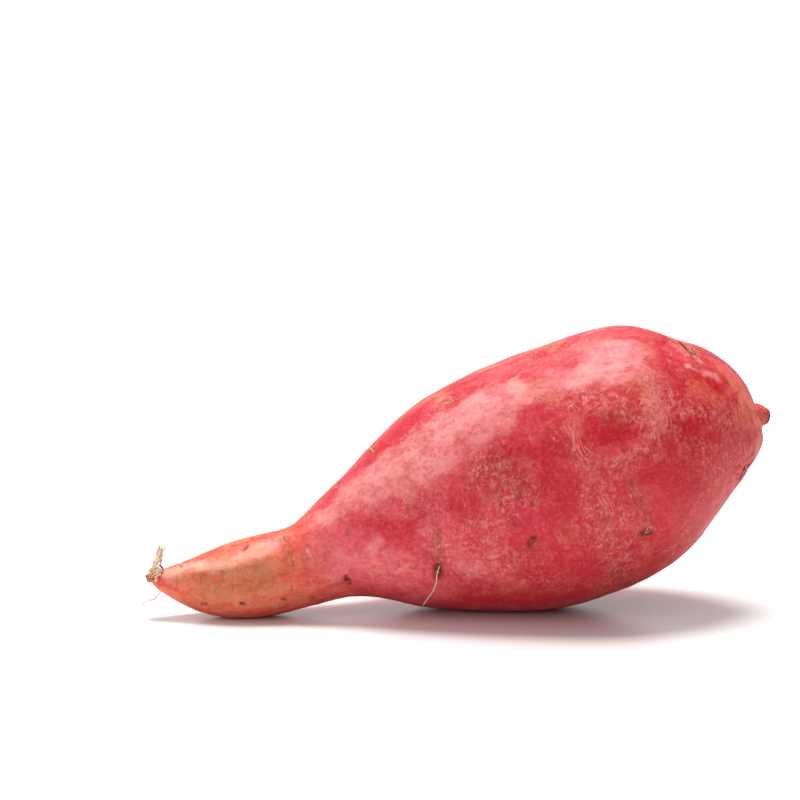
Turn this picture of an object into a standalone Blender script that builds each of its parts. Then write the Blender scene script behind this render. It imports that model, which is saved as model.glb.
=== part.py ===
"""A sweet potato as harvested: one grown root that lies on its side.

Run it with: blender --background --python part.py

The body, the stem stump and the dried root end grew as one piece, so they are one solid.
Units are metres. +Z is up, +X runs from the root tip to the stem end, and the root rests on z = 0.
"""

import math
from typing import NamedTuple

import bmesh
import bpy
import numpy as np

MM = 0.001

SEGMENTS = 12  # cage points round each cross-section
SMOOTHING = 2  # subdivision levels, for part and render alike

BED_REACH = 400 * MM  # side of the block below z = 0 that flattens the underside

SKIN_COLOUR = (0.50, 0.045, 0.075, 1.0)
SKIN_ROUGHNESS = 0.48


class Station(NamedTuple):
    """An upright cross-section: its centre and its half height and half width, in mm."""

    place: str
    x: float
    y: float
    z: float
    tall: float
    wide: float


STATIONS = (
    Station("root tip", -88.9, -15.9, 11.0, 2.9, 2.8),
    Station("finger end", -81.5, -15.7, 10.3, 6.5, 6.3),
    Station("finger", -74.1, -15.2, 10.4, 9.5, 9.2),
    Station("finger swell", -63.6, -14.4, 11.5, 11.9, 11.6),
    Station("neck", -53.2, -12.9, 13.0, 12.5, 12.2),
    Station("neck bend", -47.2, -11.5, 15.3, 13.5, 12.9),
    Station("flare", -39.8, -9.4, 19.5, 16.3, 15.2),
    Station("wide flare", -30.8, -6.7, 24.5, 19.9, 18.6),
    Station("lower body", -20.4, -4.3, 29.4, 25.9, 24.4),
    Station("body", -8.5, -2.0, 32.6, 31.8, 30.0),
    Station("lower belly", 6.4, -0.6, 35.7, 36.4, 34.6),
    Station("belly", 22.8, -0.2, 38.8, 39.7, 37.4),
    Station("upper belly", 39.2, -0.4, 43.2, 40.2, 38.0),
    Station("shoulder", 52.6, -0.2, 46.2, 38.0, 36.4),
    Station("shoulder turn", 64.5, 0.5, 47.7, 33.0, 32.4),
    Station("stem end", 73.5, 1.4, 50.7, 27.0, 26.8),
    Station("stem face", 80.9, 2.6, 52.8, 19.4, 19.6),
    Station("stem hollow", 86.9, 3.5, 52.9, 10.9, 11.2),
)
TIP = (-91.5, -16.0, 11.0)
CROWN = (91.4, 4.1, 52.5)


class Swell(NamedTuple):
    """A broad swell of the cage, or a hollow where rise is negative, in mm and degrees.

    around is 0 on top, 90 on the -Y side, 180 underneath and 270 on the +Y side.
    """

    place: str
    x: float
    around: float
    reach: float
    rise: float


SWELLS = (
    Swell("hollow of the front face", 49.0, 78.0, 15.0, -1.6),
    Swell("ridge below that hollow", 52.0, 108.0, 16.0, 0.9),
    Swell("upper front ridge", 20.0, 52.0, 22.0, 0.9),
    Swell("flat on the upper back", 22.0, 320.0, 26.0, -1.8),
    Swell("swell of the lower back", 34.0, 250.0, 24.0, 1.6),
    Swell("hollow behind the neck", -30.0, 285.0, 16.0, -1.2),
    Swell("dimple behind the shoulder", 66.0, 300.0, 15.0, -1.4),
)

STUMP_LINE = ((80.0, 2.6, 56.6), (87.7, 5.0, 57.4), (90.7, 6.0, 57.7), (92.2, 6.5, 57.7))
STUMP_RADII = (4.6, 3.9, 3.3, 3.1)
ROOT_LINE = (
    (-86.8, -15.8, 10.3),
    (-90.9, -16.3, 10.3),
    (-92.1, -16.5, 12.5),
    (-90.9, -16.1, 16.3),
    (-89.3, -15.7, 20.1),
)
ROOT_RADII = (2.0, 1.7, 1.3, 0.9, 0.6)
STALK_RESOLUTION = 2  # bevel steps of a quarter turn of the stump and the dried root
STALK_STEPS = 3  # lengthwise steps between two points of a stalk's line
SMOOTH_ORDER = 3  # a stalk's line bends smoothly, without following each point sharply
WELD_DISTANCE = 0.01 * MM


def clear_scene() -> None:
    """Remove every object, so that only this model is left."""
    for found in list(bpy.data.objects):
        bpy.data.objects.remove(found, do_unlink=True)


def new_collection(name: str) -> bpy.types.Collection:
    """Make a collection in the scene."""
    made = bpy.data.collections.new(name)
    bpy.context.scene.collection.children.link(made)
    return made


def skin_material() -> bpy.types.Material:
    """Make the plain crimson skin."""
    made = bpy.data.materials.new("crimson_skin")
    made.use_nodes = True
    shader = made.node_tree.nodes["Principled BSDF"]
    shader.inputs["Base Color"].default_value = SKIN_COLOUR
    shader.inputs["Roughness"].default_value = SKIN_ROUGHNESS
    shader.inputs["Metallic"].default_value = 0.0
    made.diffuse_color = SKIN_COLOUR
    return made


def cage_values(wanted: np.ndarray, first: np.ndarray, last: np.ndarray) -> np.ndarray:
    """Find cage values whose smoothed surface passes through the wanted ones.

    A subdivided cage settles at (before + 4 * own + after) / 6, so this solves for the cage.
    """
    count = len(wanted)
    rule = (4 * np.eye(count) + np.eye(count, k=1) + np.eye(count, k=-1)) / 6
    known = wanted.copy()
    known[0] -= first / 6
    known[-1] -= last / 6
    return np.linalg.solve(rule, known)


def round_allowance() -> float:
    """Say how much wider than its smoothed surface a round cage is."""
    return 6 / (4 + 2 * math.cos(math.tau / SEGMENTS))


def swell_at(x: float, around: float, radius: float) -> float:
    """Add up the swells at a cage point."""
    total = 0.0
    for swell in SWELLS:
        turn = (around - swell.around + 180) % 360 - 180
        across = math.radians(turn) * radius
        distance = math.hypot(x - swell.x, across) / swell.reach
        total += swell.rise * math.exp(-distance * distance)
    return total


def cage_rings() -> list[list[tuple[float, float, float]]]:
    """Work out the cage points of each cross-section, in mm."""
    centres = np.array([(s.x, s.y, s.z) for s in STATIONS])
    sizes = np.array([(s.tall, s.wide) for s in STATIONS])
    centres = cage_values(centres, np.array(TIP), np.array(CROWN))
    sizes = cage_values(sizes, np.zeros(2), np.zeros(2)) * round_allowance()
    rings = []
    for (x, y, z), (tall, wide) in zip(centres, sizes):
        ring = []
        for step in range(SEGMENTS):
            angle = math.tau * step / SEGMENTS
            rise = swell_at(x, math.degrees(angle), (tall + wide) / 2)
            across = y - (wide + rise) * math.sin(angle)
            height = z + (tall + rise) * math.cos(angle)
            ring.append((x, across, height))
        rings.append(ring)
    return rings


def root_cage(name: str) -> bpy.types.Object:
    """Shape a sphere's rings and poles into the coarse cage of the whole root."""
    rings = cage_rings()
    cage = bmesh.new()
    bmesh.ops.create_uvsphere(
        cage, u_segments=SEGMENTS, v_segments=len(rings) + 1, radius=1.0
    )
    for vert in cage.verts:
        latitude = math.acos(max(-1.0, min(1.0, vert.co.z))) / math.pi
        number = round(latitude * (len(rings) + 1))
        if number == 0:
            vert.co = [v * MM for v in TIP]
        elif number > len(rings):
            vert.co = [v * MM for v in CROWN]
        else:
            turn = math.atan2(vert.co.y, vert.co.x) / math.tau
            step = round(turn * SEGMENTS) % SEGMENTS
            vert.co = [v * MM for v in rings[number - 1][step]]
    bmesh.ops.recalc_face_normals(cage, faces=cage.faces)
    mesh = bpy.data.meshes.new(name)
    cage.to_mesh(mesh)
    cage.free()
    mesh.shade_smooth()
    return bpy.data.objects.new(name, mesh)


def stalk(name: str, line: tuple, radii: tuple) -> bpy.types.Object:
    """Make a closed tapered stalk along a smooth line."""
    curve = bpy.data.curves.new(name, "CURVE")
    curve.dimensions = "3D"
    curve.bevel_depth = MM  # so that each point's radius is a length in mm
    curve.bevel_resolution = STALK_RESOLUTION
    curve.use_fill_caps = True
    curve.resolution_u = STALK_STEPS
    spline = curve.splines.new("NURBS")
    spline.points.add(len(line) - 1)
    spline.order_u = SMOOTH_ORDER
    spline.use_endpoint_u = True
    for point, place, radius in zip(spline.points, line, radii):
        point.co = (*[v * MM for v in place], 1.0)
        point.radius = radius
    drawn = bpy.data.objects.new(f"{name}_line", curve)
    bpy.context.scene.collection.objects.link(drawn)
    graph = bpy.context.evaluated_depsgraph_get()
    mesh = bpy.data.meshes.new_from_object(drawn.evaluated_get(graph))
    bpy.data.objects.remove(drawn, do_unlink=True)
    welded = bmesh.new()
    welded.from_mesh(mesh)
    bmesh.ops.remove_doubles(welded, verts=welded.verts, dist=WELD_DISTANCE)
    bmesh.ops.recalc_face_normals(welded, faces=welded.faces)
    welded.to_mesh(mesh)
    welded.free()
    mesh.shade_smooth()
    return bpy.data.objects.new(name, mesh)


def bed_block(name: str) -> bpy.types.Object:
    """Make the block below z = 0 that flattens the underside."""
    block = bmesh.new()
    bmesh.ops.create_cube(block, size=BED_REACH)
    bmesh.ops.translate(block, verts=block.verts, vec=(0.0, 0.0, -BED_REACH / 2))
    mesh = bpy.data.meshes.new(name)
    block.to_mesh(mesh)
    block.free()
    return bpy.data.objects.new(name, mesh)


def as_helper(helper: bpy.types.Object, helpers: bpy.types.Collection) -> None:
    """Put a cutter or a joined shape aside, so that it isn't a part of its own."""
    helpers.objects.link(helper)
    helper.hide_render = True
    helper.display_type = "WIRE"


def combine(part: bpy.types.Object, helper: bpy.types.Object, operation: str) -> None:
    """Join a helper to the part, or cut it away."""
    boolean = part.modifiers.new(helper.name, "BOOLEAN")
    boolean.operation = operation
    boolean.solver = "EXACT"
    boolean.object = helper


def build() -> None:
    """Build the sweet potato."""
    clear_scene()
    parts = new_collection("sweet_potato")
    helpers = new_collection("helpers")

    root = root_cage("sweet_potato")
    parts.objects.link(root)
    root.data.materials.append(skin_material())

    smooth = root.modifiers.new("smooth", "SUBSURF")
    smooth.levels = SMOOTHING
    smooth.render_levels = SMOOTHING

    stump = stalk("stem_stump", STUMP_LINE, STUMP_RADII)
    dried_root = stalk("dried_root_end", ROOT_LINE, ROOT_RADII)
    for grown in (stump, dried_root):
        as_helper(grown, helpers)
        combine(root, grown, "UNION")

    bed = bed_block("bed")
    as_helper(bed, helpers)
    combine(root, bed, "DIFFERENCE")


build()
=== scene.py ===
"""The looks of one sweet potato, lying on its side on a pale floor.

The root's form repeats the cross-sections of its solid, and everything finer is added here: lumps,
dents, eyes, cracks, the stem stump's bark, the dried fibres at the root tip and the loose rootlets.
Shapes are worked out in millimetres and made in metres. +X runs from the root tip to the stem end,
-Y faces the photograph's camera, and the root rests on z = 0.
"""

import itertools
import logging
import math
from collections.abc import Iterable
from dataclasses import dataclass, field
from enum import Enum

import bpy
import numpy as np
from bpy.types import ID, Material, Node, NodeSocket, NodeTree, Object
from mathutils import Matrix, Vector
from mathutils.bvhtree import BVHTree


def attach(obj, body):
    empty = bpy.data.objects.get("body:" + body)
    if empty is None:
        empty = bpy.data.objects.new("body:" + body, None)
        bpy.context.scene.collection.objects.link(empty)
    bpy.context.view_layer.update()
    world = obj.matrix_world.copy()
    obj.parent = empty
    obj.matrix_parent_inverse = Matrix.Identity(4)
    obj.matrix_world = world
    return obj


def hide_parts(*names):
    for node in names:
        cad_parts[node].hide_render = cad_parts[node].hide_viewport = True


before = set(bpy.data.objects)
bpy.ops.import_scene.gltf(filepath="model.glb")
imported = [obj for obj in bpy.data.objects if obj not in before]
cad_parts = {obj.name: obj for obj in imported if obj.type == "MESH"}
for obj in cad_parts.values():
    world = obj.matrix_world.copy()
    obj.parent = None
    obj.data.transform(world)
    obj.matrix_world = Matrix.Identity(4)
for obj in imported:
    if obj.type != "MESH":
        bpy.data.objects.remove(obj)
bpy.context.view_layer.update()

LOG = logging.getLogger("sweet_potato")
MM = 0.001
FULL_TURN = 360.0
TINY = 1e-12

Array = np.ndarray
Spot = tuple[float, float]
Place = tuple[float, float, float]


class Chart(Enum):
    """How a spot on the skin is written down."""

    PHOTO = "a pixel of the photograph, across and down, on the root"
    ROUND = "millimetres along x, and degrees round the root from its top, by way of -Y"
    UPRIGHT = "a pixel of the photograph, on an upright plane at a given y"


PHOTO, ROUND, UPRIGHT = Chart


class Zone(Enum):
    """A kind of skin, and the name of the mesh attribute that says how much of it there is; the pale, rose
    and clean zones also hold painted highlight, painted light and painted shade.
    """

    SCUFF = "scuff"
    # Deep red skin, and also painted shade along the underside.
    CLEAN = "clean"
    # Pale skin, and also painted highlight on the lit shoulder and the lit top of the finger.
    PALE = "pale"
    # Rosy skin, and also painted light on the lower left of the body.
    ROSE = "rose"
    EMBER = "ember"
    ORANGE = "orange"
    TAN = "tan"
    STAIN = "stain"


@dataclass(frozen=True)
class Colour:
    """A colour as it looks on a screen, each part 0 to 255."""

    red: float
    green: float
    blue: float

    def linear(self) -> tuple[float, float, float, float]:
        """Give the colour as the linear light that a shader takes."""
        parts = np.array((self.red, self.green, self.blue)) / 255
        light = np.where(parts <= 0.04045, parts / 12.92, ((parts + 0.055) / 1.055) ** 2.4)
        return (*light.tolist(), 1.0)


def smooth_step(value: Array, low: float, high: float) -> Array:
    """Rise smoothly from 0 at low to 1 at high, or fall where high is the smaller.

    Args:
        value: The numbers to judge.
        low: Where the result is 0.
        high: Where the result is 1.

    Returns:
        Numbers from 0 to 1.
    """
    part = np.clip((value - low) / (high - low), 0.0, 1.0)
    return part * part * (3 - 2 * part)


def unit(vectors: Array) -> Array:
    """Scale vectors to length 1, along the last axis."""
    return vectors / np.maximum(np.linalg.norm(vectors, axis=-1, keepdims=True), TINY)


def covered_along(line: Array) -> Array:
    """Give the length of a line up to each of its places, which are its rows."""
    return np.append(0.0, np.cumsum(np.linalg.norm(np.diff(line, axis=0), axis=1)))


def link(name: str, data: ID) -> Object:
    """Make an object of a mesh, a light or a camera, and put it in the scene."""
    made = bpy.data.objects.new(name, data)
    bpy.context.scene.collection.objects.link(made)
    return made


@dataclass(frozen=True)
class Grain:
    """A smooth seeded random field through space, for lumps and ragged edges.

    Attributes:
        wavelength: The usual distance between two lumps, in mm.
        seed: Which of the endless fields this is.
        layers: How many finer copies are added, each half as long and half as strong.
    """

    STRIDES = (374761393, 668265263, 2147483647)
    SEED_STRIDE = 974634777
    SHUFFLES = ((13, 1274126177, 0x7FFFFFFF), (15, 2246822519, 0x3FFFFFFF))
    STRENGTH = 1.6

    wavelength: float
    seed: int
    layers: int = 1

    def at(self, points: Array) -> Array:
        """Read the field.

        Args:
            points: Places in mm, as rows.

        Returns:
            A number from about -1 to 1 for each place.
        """
        total = np.zeros(len(points))
        for layer in range(self.layers):
            share = 0.5**layer
            total += share * self._single(points / (self.wavelength * share), self.seed + 101 * layer)
        return total

    def _single(self, points: Array, seed: int) -> Array:
        """Blend random slopes at the eight corners round each point.

        Args:
            points: Places, as rows, in steps of the field's grid.
            seed: Which field it is.

        Returns:
            A number for each place.
        """
        cell = np.floor(points).astype(np.int64)
        inside = points - cell
        ease = inside**3 * (inside * (inside * 6 - 15) + 10)
        total = np.zeros(len(points))
        for corner in itertools.product((0, 1), repeat=3):
            mixed = (cell + corner) @ np.array(self.STRIDES) + seed * self.SEED_STRIDE
            for shift, factor, kept in self.SHUFFLES:
                mixed = (mixed ^ (mixed >> shift)) * factor & kept
            # Ten bits of the number for each part of the slope.
            slopes = np.stack([mixed >> shift & 1023 for shift in (0, 10, 20)], -1) / 511.5 - 1
            weight = np.prod(np.where(np.array(corner) == 1, ease, 1 - ease), axis=-1)
            total += weight * np.einsum("ij,ij->i", slopes, inside - corner)
        return total * self.STRENGTH


@dataclass(frozen=True)
class Photograph:
    """Where the photograph was taken from, and so which pixel shows which place.

    Attributes:
        side: Width and height of the picture, in px.
        scale: Size of a pixel at the aim point, in mm.
        elevation: Height of the camera above the horizon, in degrees.
        distance: From the camera to the aim point, in mm.
        aim: The place in the middle of the picture, in mm.
        sensor: Width of the camera's sensor, in mm.
        clip: The nearest and the farthest distance that the camera sees, in mm.
    """

    side: int = 800
    scale: float = 0.298
    elevation: float = 11.0
    distance: float = 2600.0
    aim: Place = (-17.4, 0.0, 62.65)
    sensor: float = 36.0
    clip: Spot = (50.0, 30000.0)

    @property
    def lens(self) -> float:
        """The focal length, in mm."""
        return self.sensor * self.distance / (self.side * self.scale)

    def axes(self) -> Array:
        """Give the camera's right, up and backward directions, as rows."""
        tilt = math.radians(self.elevation)
        up = (0.0, math.sin(tilt), math.cos(tilt))
        back = (0.0, -math.cos(tilt), math.sin(tilt))
        return np.array([(1.0, 0.0, 0.0), up, back])

    def stand(self) -> Array:
        """Give the camera's place, in mm."""
        return np.array(self.aim) + self.axes()[2] * self.distance

    def ray(self, pixel: Spot) -> Array:
        """Give the direction in which a pixel looks.

        Args:
            pixel: Across and down, in px.

        Returns:
            A unit vector from the camera.
        """
        right, up, back = self.axes()
        middle = self.side / 2
        across = (pixel[0] - middle) * self.scale / self.distance
        rise = (middle - pixel[1]) * self.scale / self.distance
        return unit(right * across + up * rise - back)

    def on_plane(self, pixel: Spot, y: float) -> Array:
        """Find the place that a pixel shows on the upright plane at y, in mm."""
        ray = self.ray(pixel)
        stand = self.stand()
        return stand + ray * (y - stand[1]) / ray[1]

    def make_camera(self) -> None:
        """Set up the scene's camera."""
        data = bpy.data.cameras.new("camera")
        data.lens = self.lens
        data.sensor_width = self.sensor
        data.clip_start, data.clip_end = np.array(self.clip) * MM
        camera = link("camera", data)
        camera.location = Vector(self.stand() * MM)
        camera.rotation_euler = (math.radians(90 - self.elevation), 0.0, 0.0)
        bpy.context.scene.camera = camera


@dataclass(frozen=True)
class Station:
    """An upright cross-section of the root: its centre, half height and half width, in mm."""

    place: str
    x: float
    y: float
    z: float
    tall: float
    wide: float


@dataclass(frozen=True)
class Swell:
    """A broad swell of the root, or a hollow where rise is negative, in mm and degrees."""

    place: str
    x: float
    around: float
    reach: float
    rise: float


STATIONS = (
    Station("root tip", -88.9, -15.9, 11.0, 2.9, 2.8),
    Station("finger end", -81.5, -15.7, 10.3, 6.5, 6.3),
    Station("finger", -74.1, -15.2, 10.4, 9.5, 9.2),
    Station("finger swell", -63.6, -14.4, 11.5, 11.9, 11.6),
    Station("neck", -53.2, -12.9, 13.0, 12.5, 12.2),
    Station("neck bend", -47.2, -11.5, 15.3, 13.5, 12.9),
    Station("flare", -39.8, -9.4, 19.5, 16.3, 15.2),
    Station("wide flare", -30.8, -6.7, 24.5, 19.9, 18.6),
    Station("lower body", -20.4, -4.3, 29.4, 25.9, 24.4),
    Station("body", -8.5, -2.0, 32.6, 31.8, 30.0),
    Station("lower belly", 6.4, -0.6, 35.7, 36.4, 34.6),
    Station("belly", 22.8, -0.2, 38.8, 39.7, 37.4),
    Station("upper belly", 39.2, -0.4, 43.2, 40.2, 38.0),
    Station("shoulder", 52.6, -0.2, 46.2, 38.0, 36.4),
    Station("shoulder turn", 64.5, 0.5, 47.7, 33.0, 32.4),
    Station("stem end", 73.5, 1.4, 50.7, 27.0, 26.8),
    Station("stem face", 80.9, 2.6, 52.8, 19.4, 19.6),
    Station("stem hollow", 86.9, 3.5, 52.9, 10.9, 11.2),
)

SWELLS = (
    Swell("hollow of the front face", 49.0, 78.0, 15.0, -1.6),
    Swell("ridge below that hollow", 52.0, 108.0, 16.0, 0.9),
    Swell("upper front ridge", 20.0, 52.0, 22.0, 0.9),
    Swell("flat on the upper back", 22.0, 320.0, 26.0, -1.8),
    Swell("swell of the lower back", 34.0, 250.0, 24.0, 1.6),
    Swell("hollow behind the neck", -30.0, 285.0, 16.0, -1.2),
    Swell("dimple behind the shoulder", 66.0, 300.0, 15.0, -1.4),
)


@dataclass(frozen=True)
class RootForm:
    """The smooth form of the whole root, a spline surface through its cross-sections.

    A place on it is a pair: along, from 0 at the root tip to one more than the number of stations at
    the stem end, and around, in degrees from the top by way of -Y.
    """

    stations: tuple[Station, ...] = STATIONS
    swells: tuple[Swell, ...] = SWELLS
    tip: Place = (-91.5, -16.0, 11.0)
    crown: Place = (91.4, 4.1, 52.5)
    segments: int = 12

    @property
    def length(self) -> float:
        """The highest value of along."""
        return len(self.stations) + 1.0

    def _through(self, wanted: Array, first: Array, last: Array) -> Array:
        """Find cage values whose spline passes through the wanted ones.

        Args:
            wanted: The stations' values, as rows.
            first: The value at the first pole.
            last: The value at the last pole.

        Returns:
            The cage's values, as rows.
        """
        count = len(wanted)
        rule = (4 * np.eye(count) + np.eye(count, k=1) + np.eye(count, k=-1)) / 6
        known = wanted.copy()
        known[0] -= first / 6
        known[-1] -= last / 6
        return np.linalg.solve(rule, known)

    def _swell(self, x: Array, around: Array, radius: Array) -> Array:
        """Add up the swells at cage points.

        Args:
            x: The points' x, in mm.
            around: Their angles, in degrees.
            radius: The root's radius there, in mm.

        Returns:
            How far each point moves out, in mm.
        """
        total = np.zeros(np.broadcast(x, around).shape)
        for swell in self.swells:
            turn = (around - swell.around + FULL_TURN / 2) % FULL_TURN - FULL_TURN / 2
            distance = np.hypot(x - swell.x, np.radians(turn) * radius) / swell.reach
            total += swell.rise * np.exp(-distance * distance)
        return total

    def cage(self) -> Array:
        """Work out the cage: a ring for each station, both poles, and a ring beyond each pole."""
        centres = self._through(
            np.array([(s.x, s.y, s.z) for s in self.stations]), np.array(self.tip), np.array(self.crown)
        )
        sizes = self._through(
            np.array([(s.tall, s.wide) for s in self.stations]), np.zeros(2), np.zeros(2)
        )
        sizes *= 6 / (4 + 2 * math.cos(math.tau / self.segments))
        around = np.arange(self.segments) * FULL_TURN / self.segments
        turn = np.radians(around)
        x = centres[:, :1]
        tall, wide = sizes[:, :1], sizes[:, 1:]
        rise = self._swell(x, around, (tall + wide) / 2)
        across = centres[:, 1:2] - (wide + rise) * np.sin(turn)
        height = centres[:, 2:] + (tall + rise) * np.cos(turn)
        rings = np.stack([np.broadcast_to(x, across.shape), across, height], -1)
        half = self.segments // 2
        poles = [np.broadcast_to(np.array(p), rings[:1].shape) for p in (self.tip, self.crown)]
        beyond = [np.roll(rings[:1], half, axis=1), np.roll(rings[-1:], half, axis=1)]
        return np.concatenate([beyond[0], poles[0], rings, poles[1], beyond[1]])

    @staticmethod
    def _weights(values: Array, count: int, periodic: bool) -> Array:
        """Give each cage row's share in the spline at each value, as a matrix.

        Args:
            values: Places along the cage, counted in rows.
            count: How many rows the cage has.
            periodic: Whether the first row follows the last.

        Returns:
            A row of shares for each value.
        """
        whole = np.floor(values).astype(int)
        if not periodic:
            whole = np.minimum(whole, count - 4)
        part = values - whole
        shares = (
            (1 - part) ** 3 / 6,
            (3 * part**3 - 6 * part**2 + 4) / 6,
            (-3 * part**3 + 3 * part**2 + 3 * part + 1) / 6,
            part**3 / 6,
        )
        matrix = np.zeros((len(values), count))
        rows = np.arange(len(values))
        for step, share in enumerate(shares):
            column = (whole + step - 1) % count if periodic else whole + step
            matrix[rows, column] += share
        return matrix

    def surface(self, along: Array, around: Array) -> Array:
        """Evaluate the form on a grid.

        Args:
            along: The rings' places from tip to stem end.
            around: The angles round each ring, in degrees.

        Returns:
            Places in mm, one row of points for each ring.
        """
        cage = self.cage()
        lengthwise = self._weights(along, len(cage), periodic=False)
        steps = (around % FULL_TURN) * self.segments / FULL_TURN
        girthwise = self._weights(steps, self.segments, periodic=True)
        return np.einsum("ar,rsk,gs->agk", lengthwise, cage, girthwise, optimize=True)

    def even_steps(self, count: int) -> Array:
        """Choose values of along that lie equally far apart on the skin, both poles included.

        Args:
            count: How many.

        Returns:
            The values.
        """
        fine = np.linspace(0.0, self.length, 2000)
        rows = self.surface(fine, np.arange(self.segments) * FULL_TURN / self.segments)
        lengths = np.linalg.norm(np.diff(rows, axis=0), axis=-1).mean(axis=1)
        covered = np.concatenate([[0.0], np.cumsum(lengths)])
        return np.interp(np.linspace(0.0, covered[-1], count), covered, fine)

    def spot(self, x: float, around: float) -> Array:
        """Find the place on the form at a given x, in mm, and angle, in degrees.

        Args:
            x: Where along the root, in mm.
            around: The angle from the top by way of -Y, in degrees.

        Returns:
            The place, in mm.
        """
        fine = np.linspace(0.0, self.length, 400)
        reached = self.surface(fine, np.array([around]))[:, 0, 0]
        along = np.interp(x, reached, fine)
        return self.surface(np.array([along]), np.array([around]))[0, 0]


class Locator:
    """Finds the places on the root's form that spots stand for."""

    def __init__(self, form: RootForm, photograph: Photograph) -> None:
        """Make a plain mesh of the form to look for places on.

        Args:
            form: The root's form.
            photograph: The photograph whose pixels are looked up.
        """
        self.form = form
        self.photograph = photograph
        rings, around = 200, 144
        rows = form.surface(form.even_steps(rings), np.arange(around) * FULL_TURN / around)
        corners = np.arange(rings * around).reshape(rings, around)
        low, high = corners[:-1], corners[1:]
        quads = np.stack([low, np.roll(low, -1, 1), np.roll(high, -1, 1), high], -1)
        self.tree = BVHTree.FromPolygons(rows.reshape(-1, 3).tolist(), quads.reshape(-1, 4).tolist())

    def place(self, spot: Spot, chart: Chart = PHOTO) -> Array:
        """Find one spot's place.

        Args:
            spot: Two numbers, as the chart says.
            chart: What the numbers mean.

        Returns:
            The place on the smooth form, in mm.
        """
        if chart is ROUND:
            return self.form.spot(*spot)
        stand = Vector(self.photograph.stand())
        ray = Vector(self.photograph.ray(spot))
        hit = self.tree.ray_cast(stand, ray)[0]
        if hit is None:
            near = self.photograph.on_plane(spot, 0.0)
            hit = self.tree.find_nearest(Vector(near))[0]
        return np.array(hit)

    def line(self, spots: tuple[Spot, ...], chart: Chart = PHOTO) -> Array:
        """Find the places of several spots, as rows."""
        return np.array([self.place(spot, chart) for spot in spots])

    def outward(self, place: Array) -> Array:
        """Give the direction straight out of the skin nearest to a place.

        Args:
            place: The place, in mm.

        Returns:
            A unit vector.
        """
        near, normal, _, _ = self.tree.find_nearest(Vector(place))
        centre = np.array((near.x, np.interp(near.x, *self._spine(1)), np.interp(near.x, *self._spine(2))))
        normal = np.array(normal)
        return normal if normal @ (np.array(near) - centre) > 0 else -normal

    def _spine(self, part: int) -> tuple[list[float], list[float]]:
        """Give the stations' x and one other part of their centres."""
        places = [(s.x, s.y, s.z) for s in self.form.stations]
        return [p[0] for p in places], [p[part] for p in places]


@dataclass(frozen=True)
class Nearness:
    """How points lie beside a line, in mm.

    Attributes:
        distance: From each point to the line.
        across: The same, negative on the line's left.
        part: How far along the line the nearest place is, 0 to 1.
        length: The line's own length.
    """

    distance: Array
    across: Array
    part: Array
    length: float


def beside(points: Array, normals: Array, line: Array) -> Nearness:
    """Measure points against a line on the skin.

    Args:
        points: Places in mm, as rows.
        normals: The skin's outward direction at each.
        line: The line's own places, as rows; one or more.

    Returns:
        Where each point lies beside the line.
    """
    if len(line) == 1:
        line = np.concatenate([line, line + (1e-6, 0.0, 0.0)])
    covered = covered_along(line)
    best = np.full(len(points), np.inf)
    across, part = np.zeros((2, len(points)))
    for start, end, length, before in zip(line[:-1], line[1:], np.diff(covered), covered):
        run = end - start
        share = np.clip((points - start) @ run / max(length * length, TINY), 0.0, 1.0)
        off = points - start - share[:, None] * run
        distance = np.linalg.norm(off, axis=1)
        closer = distance < best
        side = np.sign(np.einsum("ij,ij->i", np.cross(run, normals), off))
        best = np.where(closer, distance, best)
        across = np.where(closer, distance * np.where(side == 0, 1.0, side), across)
        part = np.where(closer, (before + share * length) / covered[-1], part)
    return Nearness(best, across, part, covered[-1])


@dataclass(frozen=True)
class Patch:
    """A soft-edged patch of one kind of skin, laid along a line.

    Attributes:
        zone: The kind of skin.
        spots: The line's spots.
        reach: From the line to where the patch has faded, in mm.
        strength: How much of the zone the middle gets.
        ragged: How uneven the edge is.
        chart: How the spots are written.
    """

    zone: Zone
    spots: tuple[Spot, ...]
    reach: float
    strength: float = 1.0
    ragged: float = 0.5
    chart: Chart = PHOTO


@dataclass(frozen=True)
class Eye:
    """A pit where a rootlet grew, with a raised lip and a dark floor.

    Attributes:
        spots: The ends of the pit, or its one middle.
        reach: Half the pit's width, in mm.
        depth: How deep it is, in mm.
        lip: How far its rim stands up, in mm.
        dark: How brown its floor is, 0 to 1.
        halo: How far the brown reaches, as a multiple of reach.
        chart: How the spots are written.
    """

    spots: tuple[Spot, ...]
    reach: float
    depth: float
    lip: float = 0.12
    dark: float = 1.0
    halo: float = 1.8
    chart: Chart = PHOTO


@dataclass(frozen=True)
class Fold:
    """A furrow along a line, or a ridge where depth is negative, in mm."""

    spots: tuple[Spot, ...]
    reach: float
    depth: float
    chart: Chart = PHOTO


@dataclass(frozen=True)
class Crack:
    """A thin brown split in the skin, along a line."""

    spots: tuple[Spot, ...]
    width: float = 0.3
    depth: float = 0.25
    amount: float = 1.0
    chart: Chart = PHOTO


@dataclass(frozen=True)
class Scratches:
    """Light hairlines that run side by side along a line.

    Attributes:
        spots: The line's spots.
        spread: From the line to the outermost hairline, in mm.
        pitch: Between two hairlines, in mm.
        amount: How light they are, 0 to 1.
        chart: How the spots are written.
    """

    spots: tuple[Spot, ...]
    spread: float = 0.4
    pitch: float = 2.0
    amount: float = 1.0
    chart: Chart = PHOTO


def patches(zone: Zone, chart: Chart, *rows: tuple) -> tuple[Patch, ...]:
    """Make patches of one kind of skin.

    Args:
        zone: The kind of skin.
        chart: How the spots are written.
        rows: For each patch its reach, its strength, how ragged it is, and then its line's spots.

    Returns:
        The patches.
    """
    return tuple(Patch(zone, row[3:], *row[:3], chart) for row in rows)


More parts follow.
